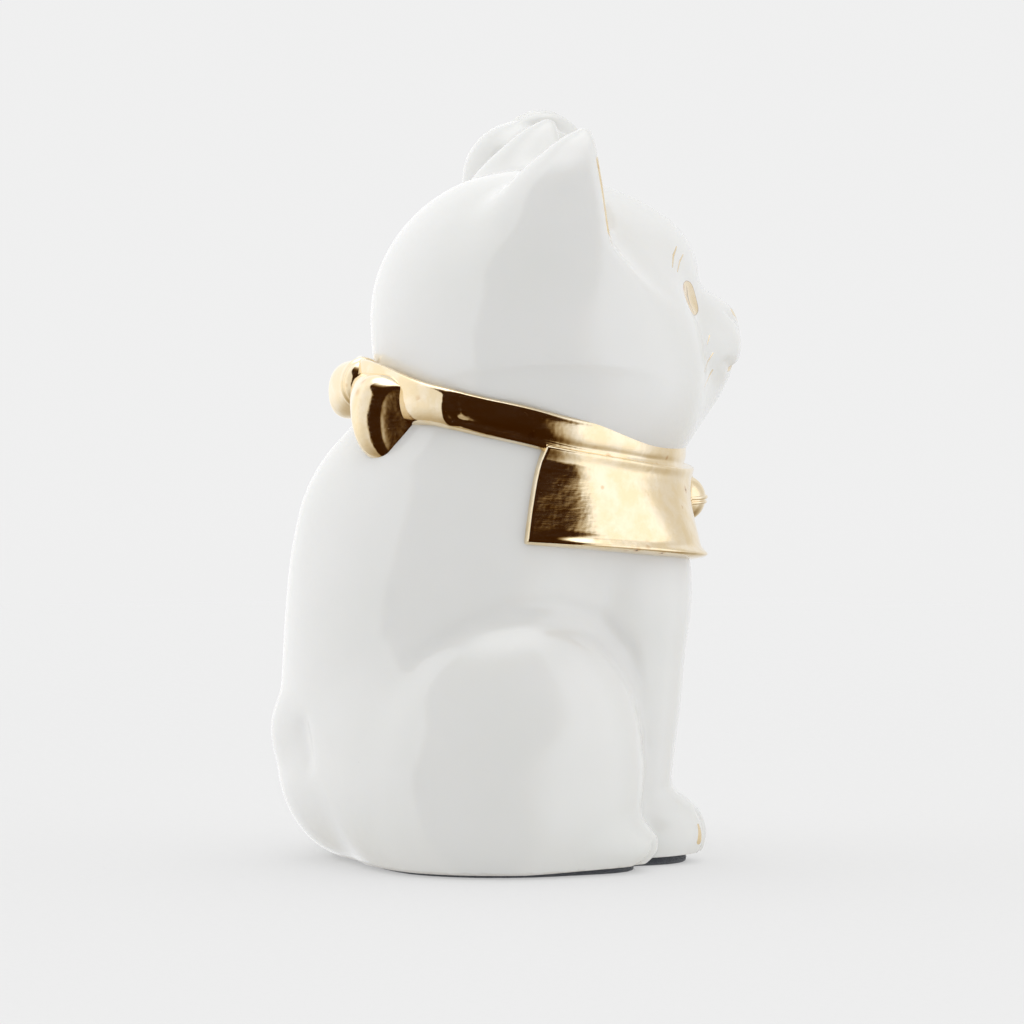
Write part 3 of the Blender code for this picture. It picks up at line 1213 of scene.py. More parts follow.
@dataclass
class GlazedBody:
    """Torso, haunches, legs, tail and raised paw under one glaze."""

    rim: float = 1.1
    recess_z: float = 1.12
    toes_x: Triple = (5.9, 9.6, 13.2)
    lumps: tuple[Lump, ...] = (
        # haunches, rump and hind feet
        Lump((17.0, 2.8, 14.0), (11.8, 16.2, 18.8), 1.4, True),
        Lump((12.6, 8.0, 11.0), (13.3, 15.3, 15.5), 7.0, True),
        Lump((17.0, 3.0, 6.4), (10.6, 14.5, 9.0), 4.0, True),
        Lump((19.6, -6.6, 3.4), (6.0, 8.2, 4.1), 2.0, True),
        # forelegs and front paws
        Lump((9.7, -12.4, 14.0), (6.0, 5.9, 15.0), 1.6, True),
        Lump((9.9, -12.8, 28.0), (7.2, 6.9, 15.0), 3.6, True),
        Lump((9.6, -12.0, 36.0), (7.8, 7.7, 10.0), 4.5, True),
        Lump((9.6, -14.0, 3.6), (6.6, 8.6, 6.2), 1.6, True),
        # tail, curled up against the rump
        Lump((0.0, 22.0, 8.4), (7.2, 5.4, 6.6), 6.0),
        Lump((0.0, 25.4, 16.2), (6.0, 5.3, 5.8), 1.8, False, -6.0),
        # raised foreleg, its paw and four toes
        Lump((20.6, -6.2, 40.5), (6.8, 7.6, 8.2), 5.0),
        Lump((22.4, -5.4, 50.0), (6.3, 6.7, 14.0), 3.0),
        Lump((23.6, -4.6, 62.0), (6.0, 6.2, 14.0), 3.0),
        Lump((23.6, -4.6, 74.0), (5.9, 6.1, 11.0), 3.0),
        Lump((23.4, -4.2, 83.2), (6.4, 7.2, 7.7), 2.0),
        Lump((19.2, -6.4, 83.4), (2.1, 6.2, 7.0), 0.5, False, 8.0),
        Lump((22.1, -6.8, 84.2), (2.1, 6.6, 8.0), 0.5, False, 8.0),
        Lump((25.0, -6.8, 84.4), (2.1, 6.4, 8.0), 0.5, False, 8.0),
        Lump((27.6, -6.2, 83.6), (2.1, 5.8, 6.8), 0.5, False, 8.0),
    )
    grooves: tuple[Groove, ...] = (
        # between the toes of the front paws, then of the hind feet
        Groove(((7.5, 0, 0.5), (7.6, 0, 6.0)), 0.55, 0.5, Plane.FRONT, keep=lambda p: p[:, 1] < -15),
        Groove(((11.6, 0, 0.5), (11.5, 0, 6.0)), 0.55, 0.5, Plane.FRONT, keep=lambda p: p[:, 1] < -15),
        Groove(((19.2, 0, 0.5), (19.3, 0, 3.6)), 0.45, 0.45, Plane.FRONT, keep=lambda p: p[:, 1] < -9),
        Groove(((22.4, 0, 0.5), (22.3, 0, 3.4)), 0.45, 0.45, Plane.FRONT, keep=lambda p: p[:, 1] < -8),
        # over the haunch
        Groove(((0, 15.5, 27.0), (0, 9.5, 31.2), (0, 5.0, 33.2), (0, -2.0, 33.4), (0, -7.4, 31.5),
                (0, -11.4, 27.2), (0, -13.0, 21.4), (0, -13.3, 15.0)), 0.28, 1.1, Plane.SIDE,
               keep=lambda p: np.clip((p[:, 0] - 13.0) / 3.0, 0, 1)),
        # beside the tail
        Groove(((7.4, 27.2, 17.0), (8.6, 26.6, 13.6)), 0.7, 1.9),
    )

    def clay(self) -> Clay:
        """Gather the body's forms.

        Returns:
            The forms, ready to be melted together.
        """
        return Clay("glazed_body", 0.55).add([TORSO, *self.lumps])

    def chest(self) -> Clay:
        """Gather the forms that the bib lies on, without the raised leg.

        Returns:
            The forms.
        """
        return Clay("chest", 0.55).add([TORSO, *(lump for lump in self.lumps if lump.paired)])

    def model(self) -> bpy.types.Object:
        """Model the skin.

        Returns:
            The skin, cut flat at the foot.
        """
        skin = self.clay().fire()
        carve(skin, self.grooves)
        hand_wobble(skin, 0.10)
        slice_off(skin, (0.0, 0.0, FOOT_Z), (0.0, 0.0, -1.0))
        slice_off(skin, (0.0, FOOT_MIDDLE_Y, FOOT_Z), (0.0, -TOE_LIFT, -1.0))
        self.recess(skin)
        return skin

    def recess(self, skin: bpy.types.Object) -> None:
        """Sink the underside, so that a narrow foot rim stands round the felt.

        Args:
            skin: The skin, already cut flat.
        """
        bm = bmesh.new()
        bm.from_mesh(skin.data)
        under = [f for f in bm.faces if f.normal.z < -0.98 and f.calc_center_median().z < 1.3 * MM]
        bmesh.ops.inset_region(
            bm, faces=under, thickness=self.rim * MM, use_boundary=True, use_even_offset=False
        )
        for spot in {v for f in under for v in f.verts}:
            spot.co.z = self.recess_z * MM
        bmesh.ops.triangulate(bm, faces=under)
        bm.to_mesh(skin.data)
        bm.free()

    def dress(self, skin: bpy.types.Object, paints: Paints) -> None:
        """Glaze the skin and gild its claws.

        Args:
            skin: The skin.
            paints: The shared node groups.
        """
        claws = tuple(
            Stroke((x, 0, 2.8), (x, 0, 4.8), 0.42, 0.18, Plane.FRONT) for x in self.toes_x
        )
        skin.data.materials.append(GlazedPorcelain("glazed_porcelain_body", claws).build(paints))

    def build(self, paints: Paints) -> bpy.types.Object:
        """Make the piece.

        Args:
            paints: The shared node groups.

        Returns:
            The piece, in place.
        """
        skin = self.model()
        self.dress(skin, paints)
        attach(skin, "root")
        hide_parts("body_casting", "tail", "raised_arm")
        return skin


@dataclass(frozen=True)
class Ear:
    """A pair of broad ears with flat, hollowed fronts."""

    melt: float = 3.6
    rim: float = 0.9
    column: Column = Column((
        (64.0, 12.0, -3.0, 10.2, 12.5),
        (72.0, 12.6, -3.8, 9.7, 12.0),
        (78.0, 13.0, -4.3, 8.5, 10.8),
        (83.0, 13.3, -4.8, 6.9, 9.0),
        (86.5, 13.6, -5.2, 5.3, 6.4),
        (88.9, 13.8, -5.9, 3.6, 4.3),
        (90.5, 13.9, -6.3, 2.2, 2.6),
        (91.6, 13.9, -6.7, 0.7, 0.9),
    ), 0.0, True)
    bowl: Lump = Lump((13.5, -9.6, 83.4), (4.6, 3.0, 6.4), 0.0, True)

    def face(self, z: np.ndarray | float) -> np.ndarray:
        """Where the ear's front lies.

        Args:
            z: Heights in millimetres.

        Returns:
            The y of the front at each height.
        """
        upper = EAR_TIP_Y - EAR_LEAN * (EAR_TIP_Z - np.asarray(z))
        lower = -8.8 - 0.8 * (77.6 - np.asarray(z))
        return np.minimum(upper, lower)

    def distance(self, places: np.ndarray) -> np.ndarray:
        """How far points lie outside the ears.

        Args:
            places: Points in millimetres, one a row.

        Returns:
            The signed distance of each.
        """
        solid = self.column.distance(places)
        front = self.face(places[:, 2]) - places[:, 1]
        cut = -melt_join(-solid, -front, self.rim)
        return -melt_join(-cut, self.bowl.distance(places), self.rim)

    def add_to(self, bm: bmesh.types.BMesh) -> None:
        """Model the ears roughly.

        Args:
            bm: The mesh that receives them.
        """
        self.column.add_to(bm, lambda p: Vector((p.x, max(p.y, float(self.face(p.z))), p.z)))


@dataclass
class GlazedHead:
    """Skull, cheeks, muzzle, chin and ears under one glaze, with painted features."""

    lumps: tuple[Lump, ...] = (
        # skull and nape
        Lump((0.0, -2.2, 67.2), (21.4, 20.0, 18.7)),
        Lump((0.0, 3.4, 66.5), (20.3, 12.9, 16.2), 3.0),
        Lump((0.0, -2.4, 60.5), (19.6, 17.2, 13.0), 5.0),
        # throat, cheeks and brow
        Lump((0.0, -13.0, 57.0), (13.5, 9.8, 9.5), 7.0),
        Lump((9.5, -10.0, 61.5), (10.5, 10.0, 9.5), 7.0, True),
        Lump((0.0, -13.2, 73.2), (9.5, 9.4, 7.6), 4.0),
        # chin, muzzle, nose and whisker pads
        Lump((0.0, -18.4, 60.0), (7.6, 8.2, 5.0), 4.0),
        Lump((0.0, -19.8, 64.9), (6.4, 8.2, 5.2), 3.5),
        Lump((0.0, -23.6, 67.1), (3.8, 3.9, 2.6), 2.5),
        Lump((3.0, -21.4, 63.8), (5.2, 6.6, 4.6), 2.0, True),
    )
    grooves: tuple[Groove, ...] = (
        # lip, mouth, eye socket and nostril
        Groove(((0, 0, 65.8), (0, 0, 62.6)), 0.45, 0.5, Plane.FRONT, keep=lambda p: p[:, 1] < -22),
        Groove(((0, 0, 62.4), (2.2, 0, 61.2), (4.8, 0, 61.0), (6.6, 0, 62.0)), 0.35, 0.55, Plane.FRONT,
               keep=lambda p: p[:, 1] < -19),
        Groove(((8.2, -20.4, 70.2), (8.4, -20.4, 70.2)), 0.5, 2.4),
        Groove(((2.5, 0, 66.9), (3.4, 0, 67.8)), 0.3, 0.5, Plane.FRONT, keep=lambda p: p[:, 1] < -24),
    )
    marks: tuple[Stroke, ...] = (
        # brows
        Stroke((7.6, 0, 76.6), (9.4, 0, 75.6), 0.06, 0.12, Plane.FRONT),
        Stroke((9.4, 0, 75.6), (11.0, 0, 74.2), 0.12, 0.05, Plane.FRONT),
        Stroke((7.2, 0, 75.6), (8.8, 0, 74.8), 0.05, 0.10, Plane.FRONT),
        Stroke((8.8, 0, 74.8), (10.4, 0, 73.6), 0.10, 0.05, Plane.FRONT),
        # whiskers
        Stroke((0, -23.2, 65.5), (0, -22.8, 64.5), 0.08, 0.05, Plane.SIDE),
        Stroke((0, -23.6, 63.3), (0, -21.9, 61.2), 0.09, 0.05, Plane.SIDE),
        Stroke((0, -23.6, 61.2), (0, -22.1, 59.3), 0.09, 0.05, Plane.SIDE),
        # lip and mouth
        Stroke((0, 0, 65.4), (0, 0, 62.8), 0.16, 0.16, Plane.FRONT),
        Stroke((0, 0, 62.6), (2.4, 0, 61.3), 0.16, 0.18, Plane.FRONT),
        Stroke((2.4, 0, 61.3), (4.6, 0, 61.1), 0.18, 0.40, Plane.FRONT),
        # nose
        Stroke((0, 0, 67.5), (1.7, 0, 67.9), 0.75, 0.55, Plane.FRONT),
        Stroke((0, 0, 66.3), (1.0, 0, 67.2), 0.45, 0.55, Plane.FRONT),
    )
    eye: Oval = Oval((8.5, 0.0, 70.2), (2.4, 1.0, 2.1))

    def model(self) -> bpy.types.Object:
        """Model the skin.

        Returns:
            The skin, closed under the collar.
        """
        skin = Clay("glazed_head", 0.5).add([*self.lumps, Ear()]).fire()
        carve(skin, self.grooves)
        hand_wobble(skin, 0.08)
        return skin

    def build(self, paints: Paints) -> bpy.types.Object:
        """Make the piece.

        Args:
            paints: The shared node groups.

        Returns:
            The piece, in place.
        """
        skin = self.model()
        look = GlazedPorcelain(
            "glazed_porcelain_head", self.marks, self.eye, ears=True, front_only=-17.0
        )
        skin.data.materials.append(look.build(paints))
        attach(skin, "root")
        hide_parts("head_casting")
        return skin


def refine(obj: bpy.types.Object, levels: int) -> bpy.types.Object:
    """Round a piece with a subdivision surface.

    Args:
        obj: The piece.
        levels: How often it is subdivided.

    Returns:
        The same piece, with plain mesh.
    """
    mod = obj.modifiers.new("round", "SUBSURF")
    mod.levels = levels
    mod.render_levels = levels
    return settle(obj)


def finish_gilt(obj: bpy.types.Object, mat: bpy.types.Material, *nodes: str) -> None:
    """Dress a gilded piece and tie it to its parts.

    Args:
        obj: The piece.
        mat: Its material.
        *nodes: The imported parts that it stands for.
    """
    obj.data.materials.clear()
    obj.data.materials.append(mat)
    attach(obj, "root")
    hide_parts(*nodes)


def ease(value: float, low: float, high: float) -> float:
    """A smooth step.

    Args:
        value: The input.
        low: Where the step starts.
        high: Where it ends.

    Returns:
        0 before low, 1 after high.
    """
    t = min(1.0, max(0.0, (value - low) / (high - low)))
    return t * t * (3 - 2 * t)


def rounding(gap: float, radius: float) -> float:
    """How full a rounded edge is at a place near it.

    Args:
        gap: Distance from the edge, in millimetres.
        radius: Where the edge is at its full height.

    Returns:
        0 on the edge, 1 from the radius inwards.
    """
    t = min(1.0, max(0.0, gap / radius))
    return math.sqrt(max(0.0, 1 - (1 - t) ** 2))


@dataclass
class RibbonCollar:
    """A padded ribbon round the neck: a flat band over a narrow roll."""

    middle: float = -0.9
    deep: float = 19.0
    wide: float = 19.6
    around: int = 200
    lap: tuple[float, float] = (0.555, 0.58)
    flare: float = 0.35
    profile: tuple[tuple[float, float], ...] = (
        (-1.8, 2.2), (0.6, 2.5), (1.2, 2.45), (1.45, 2.1), (1.52, 1.4), (1.54, 0.4), (1.46, -0.5),
        (1.15, -1.05), (1.34, -1.4), (1.5, -1.8), (1.32, -2.25), (0.8, -2.55), (0.1, -2.6), (-1.8, -2.4),
    )
    strap: tuple[tuple[float, float], ...] = (
        (-1.8, 2.2), (0.6, 2.6), (1.2, 2.5), (1.6, 2.1), (1.85, 1.3), (1.95, 0.4), (1.95, -0.4),
        (1.85, -1.0), (1.75, -1.4), (1.6, -1.8), (1.35, -2.25), (0.8, -2.6), (0.1, -2.6), (-1.8, -2.4),
    )

    def build(self, mat: bpy.types.Material) -> bpy.types.Object:
        """Make the piece.

        Args:
            mat: The gilt.

        Returns:
            The piece, in place.
        """
        bm = bmesh.new()
        rings = []
        for t in turns(self.around):
            c, s = math.cos(t), math.sin(t)
            lap = ease(s, *self.lap)
            flare = 1.0 + self.flare * ease(s, 0.66, 0.95)
            wave = 0.10 * math.sin(5 * t + 0.6) + 0.06 * math.sin(11 * t)
            ring = []
            for (out_a, up_a), (out_b, up_b) in zip(self.profile, self.strap):
                out, up = out_a + (out_b - out_a) * lap, up_a + (up_b - up_a) * lap
                r = out + (0.25 * lap + wave * 0.5 if out > 0 else 0.0)
                y = self.middle + (self.deep + r) * s
                z = NECK_Z + NECK_SLOPE * y + up * flare + wave
                ring.append(Vector(((self.wide + r) * c, y, z)))
            rings.append(ring)
        skin_rings(bm, rings, close_ends=False)
        band = refine(as_object("gilt_collar", bm), 2)
        finish_gilt(band, mat, "collar_band")
        return band


@dataclass
class Bib:
    """An apron round the front of the chest, with a rolled hem."""

    chest: Callable[[np.ndarray], np.ndarray]
    half_angle: float = 88.0
    tucked_angle: float = 74.0
    thick: float = 1.25
    hem: float = 0.75
    cols: int = 110
    rows: int = 40
    half_width: float = 36.0
    hem_z: float = 36.9
    hem_rise: float = 4.0
    lining: float = -1.5
    edge_sink: float = 0.6
    fold: float = 0.22
    tuck: float = 0.6
    flare: float = 0.5
    crest: float = 0.40
    side_round: float = 0.22
    hem_round: float = 0.75
    furthest: float = 6.0

    def lie(self, u: float, v: float) -> tuple[float, float, float, float]:
        """Where a point of the bib lies round and down the chest.

        Args:
            u: -1 to 1 from the cat's right to its left.
            v: 0 at the collar to 1 at the hem.

        Returns:
            Direction in radians, then the heights of the point, the top and the hem.
        """
        t = math.radians(-90 + u * (self.half_angle if u < 0 else self.tucked_angle))
        foot = self.hem_z + self.hem_rise * abs(u) ** 1.15
        top = NECK_Z + NECK_SLOPE * (0.8 + 21.0 * math.sin(t)) - 1.6
        return t, top + (foot - top) * v + 0.12 * math.sin(7.0 * u), top, foot

    def surface(self, u: float, v: float, bulge: float, front: bool) -> Vector:
        """A point on the bib.

        Args:
            u: -1 to 1 from the cat's right to its left.
            v: 0 at the collar to 1 at the hem.
            bulge: How far the chest stands out there.
            front: Whether the point is on the outer side.

        Returns:
            The point, in millimetres.
        """
        t, z, top, foot = self.lie(u, v)
        mid, deep, wide = chest_at(z)
        out = self.lining
        if front:
            side = (1 - abs(u)) * self.half_width
            low = (1 - v) * (top - foot)
            fold = self.fold * math.sin(u * 9.0 + 1.4 * v) * ease(v, 0.15, 0.7)
            roll = self.hem * math.exp(-(((low - 0.75) / 0.62) ** 2)) * ease(1 - abs(u), 0.01, 0.2)
            tuck = self.tuck * ease(1 - v, 0.84, 1.0)
            flare = self.flare * ease(v, 0.2, 1.0) * ease(1 - abs(u), 0.0, 0.4) * ease(abs(u), 0.1, 0.4)
            ridge = 0.80 - 0.04 * v
            flare += self.crest * math.exp(-(((abs(u) - ridge) / 0.12) ** 2)) * ease(v, 0.0, 0.3)
            rounded = min(rounding(side, self.side_round), rounding(low, self.hem_round))
            out = (self.thick + fold + roll + flare + tuck + self.edge_sink) * rounded - self.edge_sink
        out += bulge
        return Vector(((wide + out) * math.cos(t), mid + (deep + out) * math.sin(t), z))

    def bulge(self, t: float, z: float) -> float:
        """How far the chest stands out from the torso's plain section.

        Args:
            t: Direction round the chest, in radians.
            z: Height, in millimetres.

        Returns:
            The distance, in millimetres.
        """
        mid, deep, wide = chest_at(z)
        tries = np.linspace(0.0, self.furthest, 49)
        x, y = (wide + tries) * math.cos(t), mid + (deep + tries) * math.sin(t)
        line = np.stack([x, y, np.full(len(tries), z)], axis=1)
        inside = self.chest(line) < 0.0
        return float(tries[inside].max()) if inside.any() else 0.0

    def lifts(self, us: Sequence[float], vs: Sequence[float]) -> np.ndarray:
        """Drape the cloth over the chest and the tops of the legs.

        Args:
            us: The places round the chest.
            vs: The places down it.

        Returns:
            How far the cloth stands out at each place, a row for each height.
        """
        lift = np.array([[self.bulge(*self.lie(u, v)[:2]) for u in us] for v in vs])
        for merge, rounds in ((np.max, 2), (np.mean, 10)):
            for _ in range(rounds):
                wide = np.pad(lift, 1, mode="edge")
                near = [wide[j:j + len(vs), i:i + len(us)] for j in range(3) for i in range(3)]
                lift = merge(near, axis=0)
        return lift

    def build(self, mat: bpy.types.Material) -> bpy.types.Object:
        """Make the piece.

        Args:
            mat: The gilt.

        Returns:
            The piece, in place.
        """
        bm = bmesh.new()
        grids = []
        us = [2 * i / self.cols - 1 for i in range(self.cols + 1)]
        us = [math.copysign(1 - (1 - abs(u)) ** 1.2, u) for u in us]
        vs = [1 - (1 - j / self.rows) ** 1.35 for j in range(self.rows + 1)]
        lift = self.lifts(us, vs)
        for front in (True, False):
            grid = []
            for v, lifts in zip(vs, lift):
                row = [self.surface(u, v, float(bulge), front) * MM for u, bulge in zip(us, lifts)]
                grid.append([bm.verts.new(spot) for spot in row])
            grids.append(grid)
        outer, inner = grids
        for j in range(self.rows):
            for i in range(self.cols):
                bm.faces.new((outer[j][i], outer[j + 1][i], outer[j + 1][i + 1], outer[j][i + 1]))
                bm.faces.new((inner[j][i], inner[j][i + 1], inner[j + 1][i + 1], inner[j + 1][i]))
        rim = [(0, i) for i in range(self.cols + 1)]
        rim += [(j, self.cols) for j in range(1, self.rows + 1)]
        rim += [(self.rows, i) for i in range(self.cols - 1, -1, -1)]
        rim += [(j, 0) for j in range(self.rows - 1, 0, -1)]
        for (j, i), (k, m) in zip(rim, rim[1:] + rim[:1]):
            bm.faces.new((outer[j][i], outer[k][m], inner[k][m], inner[j][i]))
        cloth = refine(as_object("gilt_bib", bm), 1)
        finish_gilt(cloth, mat, "bib")
        return cloth


@dataclass
class Bell:
    """A round bell pressed on the bib, with a belt, a slot and a ring."""

    middle: Triple = (0.0, -21.2, 44.6)
    radius: float = 2.95
    ring: float = 0.85
    wire: float = 0.28

    def hoop(
        self, bm: bmesh.types.BMesh, size: float, thick: float, around: int, about: int,
        lay: Callable[[float, float, float], Triple],
    ) -> None:
        """Model a round hoop on the bell.

        Args:
            bm: The mesh that receives it.
            size: Its radius.
            thick: The radius of its wire.
            around: How many steps it has round the hoop.
            about: How many steps it has round the wire.
            lay: Turns and shifts its points from the middle of the bell.
        """
        rings = []
        for t in turns(around):
            ring = []
            for w in turns(about):
                r = size + thick * math.cos(w)
                spot = lay(r * math.cos(t), r * math.sin(t), thick * math.sin(w))
                ring.append(Vector(spot) + Vector(self.middle))
            rings.append(ring)
        skin_rings(bm, rings, close_ends=False)

    def build(self, mat: bpy.types.Material) -> bpy.types.Object:
        """Make the piece.

        Args:
            mat: The gilt.

        Returns:
            The piece, in place.
        """
        bm = bmesh.new()
        place = Matrix.Translation(Vector(self.middle) * MM)
        bmesh.ops.create_icosphere(bm, subdivisions=6, radius=self.radius * MM, matrix=place)
        for height, size, thick in ((0.15, self.radius + 0.02, 0.26), (-0.45, self.radius - 0.02, 0.20)):
            self.hoop(bm, size, thick, 64, 12, lambda a, b, c: (a, b, height + c))
        self.hoop(bm, self.ring, self.wire, 32, 10, lambda a, b, c: (a, -0.9 + c, 3.0 + b))
        bell = as_object("gilt_bell", bm)
        _, y, z = self.middle
        carve(bell, (
            Groove(((0, 0, z - 0.9), (0, 0, z - 2.6)), 0.55, 0.22, Plane.FRONT, keep=lambda p: p[:, 1] < y),
            Groove(((0, y - 2.6, z - 0.9), (0, y - 2.6, z - 0.8)), 0.5, 0.38),
        ))
        finish_gilt(bell, mat, "bell")
        return bell


@dataclass(frozen=True)
class LoopSection:
    """A rounded section across a bow loop, in millimetres."""

    x: float
    y: float
    z: float
    deep: float
    high: float


@dataclass
class Bow:
    """A knot at the nape with two plump loops, the right one drooping."""

    sides: int = 28
    right: tuple[LoopSection, ...] = (
        LoopSection(-0.8, 18.9, 59.2, 1.3, 1.6),
        LoopSection(-2.6, 18.8, 58.6, 2.3, 2.6),
        LoopSection(-5.2, 18.5, 57.3, 3.2, 4.0),
        LoopSection(-8.4, 18.2, 56.1, 3.8, 5.1),
        LoopSection(-10.2, 18.1, 55.8, 3.95, 5.5),
        LoopSection(-11.5, 17.5, 55.5, 3.5, 5.2),
        LoopSection(-12.3, 16.9, 55.4, 2.8, 4.7),
        LoopSection(-12.5, 16.7, 55.4, 2.3, 4.2),
        LoopSection(-12.4, 16.6, 55.4, 1.9, 3.6),
    )
    left: tuple[LoopSection, ...] = (
        LoopSection(0.8, 18.9, 59.4, 1.3, 1.5),
        LoopSection(2.6, 18.8, 59.2, 2.2, 2.3),
        LoopSection(5.2, 18.6, 58.8, 2.9, 3.1),
        LoopSection(8.4, 18.8, 58.2, 3.2, 3.7),
        LoopSection(10.6, 19.2, 57.7, 3.0, 3.6),
        LoopSection(11.7, 19.3, 57.5, 2.5, 3.1),
        LoopSection(12.0, 19.3, 57.5, 2.0, 2.5),
        LoopSection(11.8, 19.3, 57.5, 1.4, 1.9),
    )

    def loop(self, name: str, sections: Sequence[LoopSection], lean: float) -> bpy.types.Object:
        """Model one loop.

        Args:
            name: The loop's name.
            sections: Its sections from the knot outwards.
            lean: How far its foot is drawn in, from 0 to 1.

        Returns:
            The loop.
        """
        bm = bmesh.new()
        rings = []
        for s in sections:
            ring = []
            for t in turns(self.sides):
                c, n = math.cos(t), math.sin(t)
                cy = math.copysign(abs(c) ** 0.78, c)
                sz = math.copysign(abs(n) ** 0.85, n)
                slant = 1.0 - lean * 0.42 * max(0.0, -sz) * (1 if cy < 0 else 0.25)
                ring.append(Vector((s.x, s.y + s.deep * cy * slant, s.z + s.high * sz)))
            rings.append(ring)
        skin_rings(bm, rings)
        return refine(as_object(name, bm), 2)

    def build(self, mat: bpy.types.Material) -> list[bpy.types.Object]:
        """Make the knot and loops.

        Args:
            mat: The gilt.

        Returns:
            The three pieces, in place.
        """
        right = self.loop("gilt_bow_loop_right", self.right, 1.0)
        left = self.loop("gilt_bow_loop_left", self.left, 0.3)
        bm = bmesh.new()
        Lump((0.0, 19.2, 59.4), (2.5, 2.9, 3.3)).add_to(bm)
        knot = as_object("gilt_bow_knot", bm)
        carve(knot, (
            Groove(((0.9, 22, 56.4), (0.7, 22, 62.4)), 0.25, 0.35, Plane.FRONT),
        ))
        finish_gilt(right, mat, "bow_loop_right")
        finish_gilt(left, mat, "bow_loop_left")
        finish_gilt(knot, mat, "bow_knot")
        return [right, left, knot]


@dataclass
class FeltPad:
    """A thin felt pad cut to the foot's outline, with a fuzzy edge."""

    thick: float = 1.0
    steps: int = 240
    hairs: int = 900
    hair: float = 0.022
    seed: int = 11
    raggedness: float = 0.045
    edge: tuple[tuple[float, float], ...] = (
        (0.0, -1.95), (0.12, -1.72), (0.5, -1.68), (0.88, -1.74), (1.0, -2.0),
    )

    def outline(self, body: bpy.types.Object) -> np.ndarray:
        """Trace the foot.

        Args:
            body: The glazed body.

        Returns:
            The distance from the middle in each direction, in millimetres.
        """
        p = places_of(body)
        toes = TOE_LIFT * np.maximum(0.0, FOOT_MIDDLE_Y - p[:, 1])
        low = p[p[:, 2] < FOOT_Z + 0.06 + toes]
        turn = np.arctan2(low[:, 1] - FOOT_MIDDLE_Y, low[:, 0])
        reach = np.hypot(low[:, 0], low[:, 1] - FOOT_MIDDLE_Y)
        bins = ((turn + math.pi) / (2 * math.pi) * self.steps).astype(int) % self.steps
        found = np.zeros(self.steps)
        np.maximum.at(found, bins, reach)
        found[found == 0] = np.nan
        gaps = np.isnan(found)
        where = np.arange(self.steps)
        found[gaps] = np.interp(where[gaps], where[~gaps], found[~gaps], period=self.steps)
        kernel = np.array([1, 2, 3, 4, 3, 2, 1]) / 16
        for _ in range(2):
            found = sum(k * np.roll(found, i - 3) for i, k in enumerate(kernel))
        return found

    def fuzz(self, bm: bmesh.types.BMesh, rng: np.random.Generator, way: float, reach: float) -> None:
        """Model one stray fibre on the cut edge.

        Args:
            bm: The mesh that receives it.
            rng: The source of its height, lean and length.
            way: Its direction from the middle, in radians.
            reach: How far out its root lies.
        """
        out = Vector((math.cos(way), math.sin(way), 0))
        root = Vector((0, FOOT_MIDDLE_Y, float(rng.uniform(0.12, 0.9)))) + out * reach
        lean = out + Vector([float(rng.normal(0, spread)) for spread in (0.5, 0.5, 0.45)])
        end = root + lean.normalized() * float(rng.uniform(0.15, 0.42))
        end.z = max(0.02, end.z)
        side = lean.cross(Vector((0, 0, 1))).normalized() * self.hair
        up = Vector((0, 0, self.hair))
        base = [bm.verts.new(spot * MM) for spot in (root + side, root - side, root + up)]
        tip = bm.verts.new(end * MM)
        for a, b in ((0, 1), (1, 2), (2, 0)):
            bm.faces.new((base[a], base[b], tip))
        bm.faces.new(base)

    def build(self, body: bpy.types.Object) -> bpy.types.Object:
        """Make the piece.

        Args:
            body: The glazed body that it is cut to.

        Returns:
            The piece, in place.
        """
        rng = np.random.default_rng(self.seed)
        reach = self.outline(body)
        bm = bmesh.new()
        rings = []
        ways = [(i + 0.5) / self.steps * 2 * math.pi - math.pi for i in range(self.steps)]
        for height, grow in self.edge:
            rough = rng.normal(0, self.raggedness, self.steps)
            ring = []
            for r, e, t in zip(reach, rough, ways):
                out = r + grow + e
                y = FOOT_MIDDLE_Y + out * math.sin(t)
                ring.append(Vector((out * math.cos(t), y, height * self.thick)))
            rings.append(ring)
        skin_rings(bm, rings)
        for _ in range(self.hairs):
            k = int(rng.integers(self.steps))
            self.fuzz(bm, rng, ways[k] + float(rng.normal(0, 0.01)), reach[k] - 1.8)
        pad = as_object("felt_sole", bm)
        pad.data.materials.append(Felt("pressed_felt").build())
        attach(pad, "root")
        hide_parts("felt_pad")
        return pad


# --------------------------------------------------------------------------
# The studio
# --------------------------------------------------------------------------


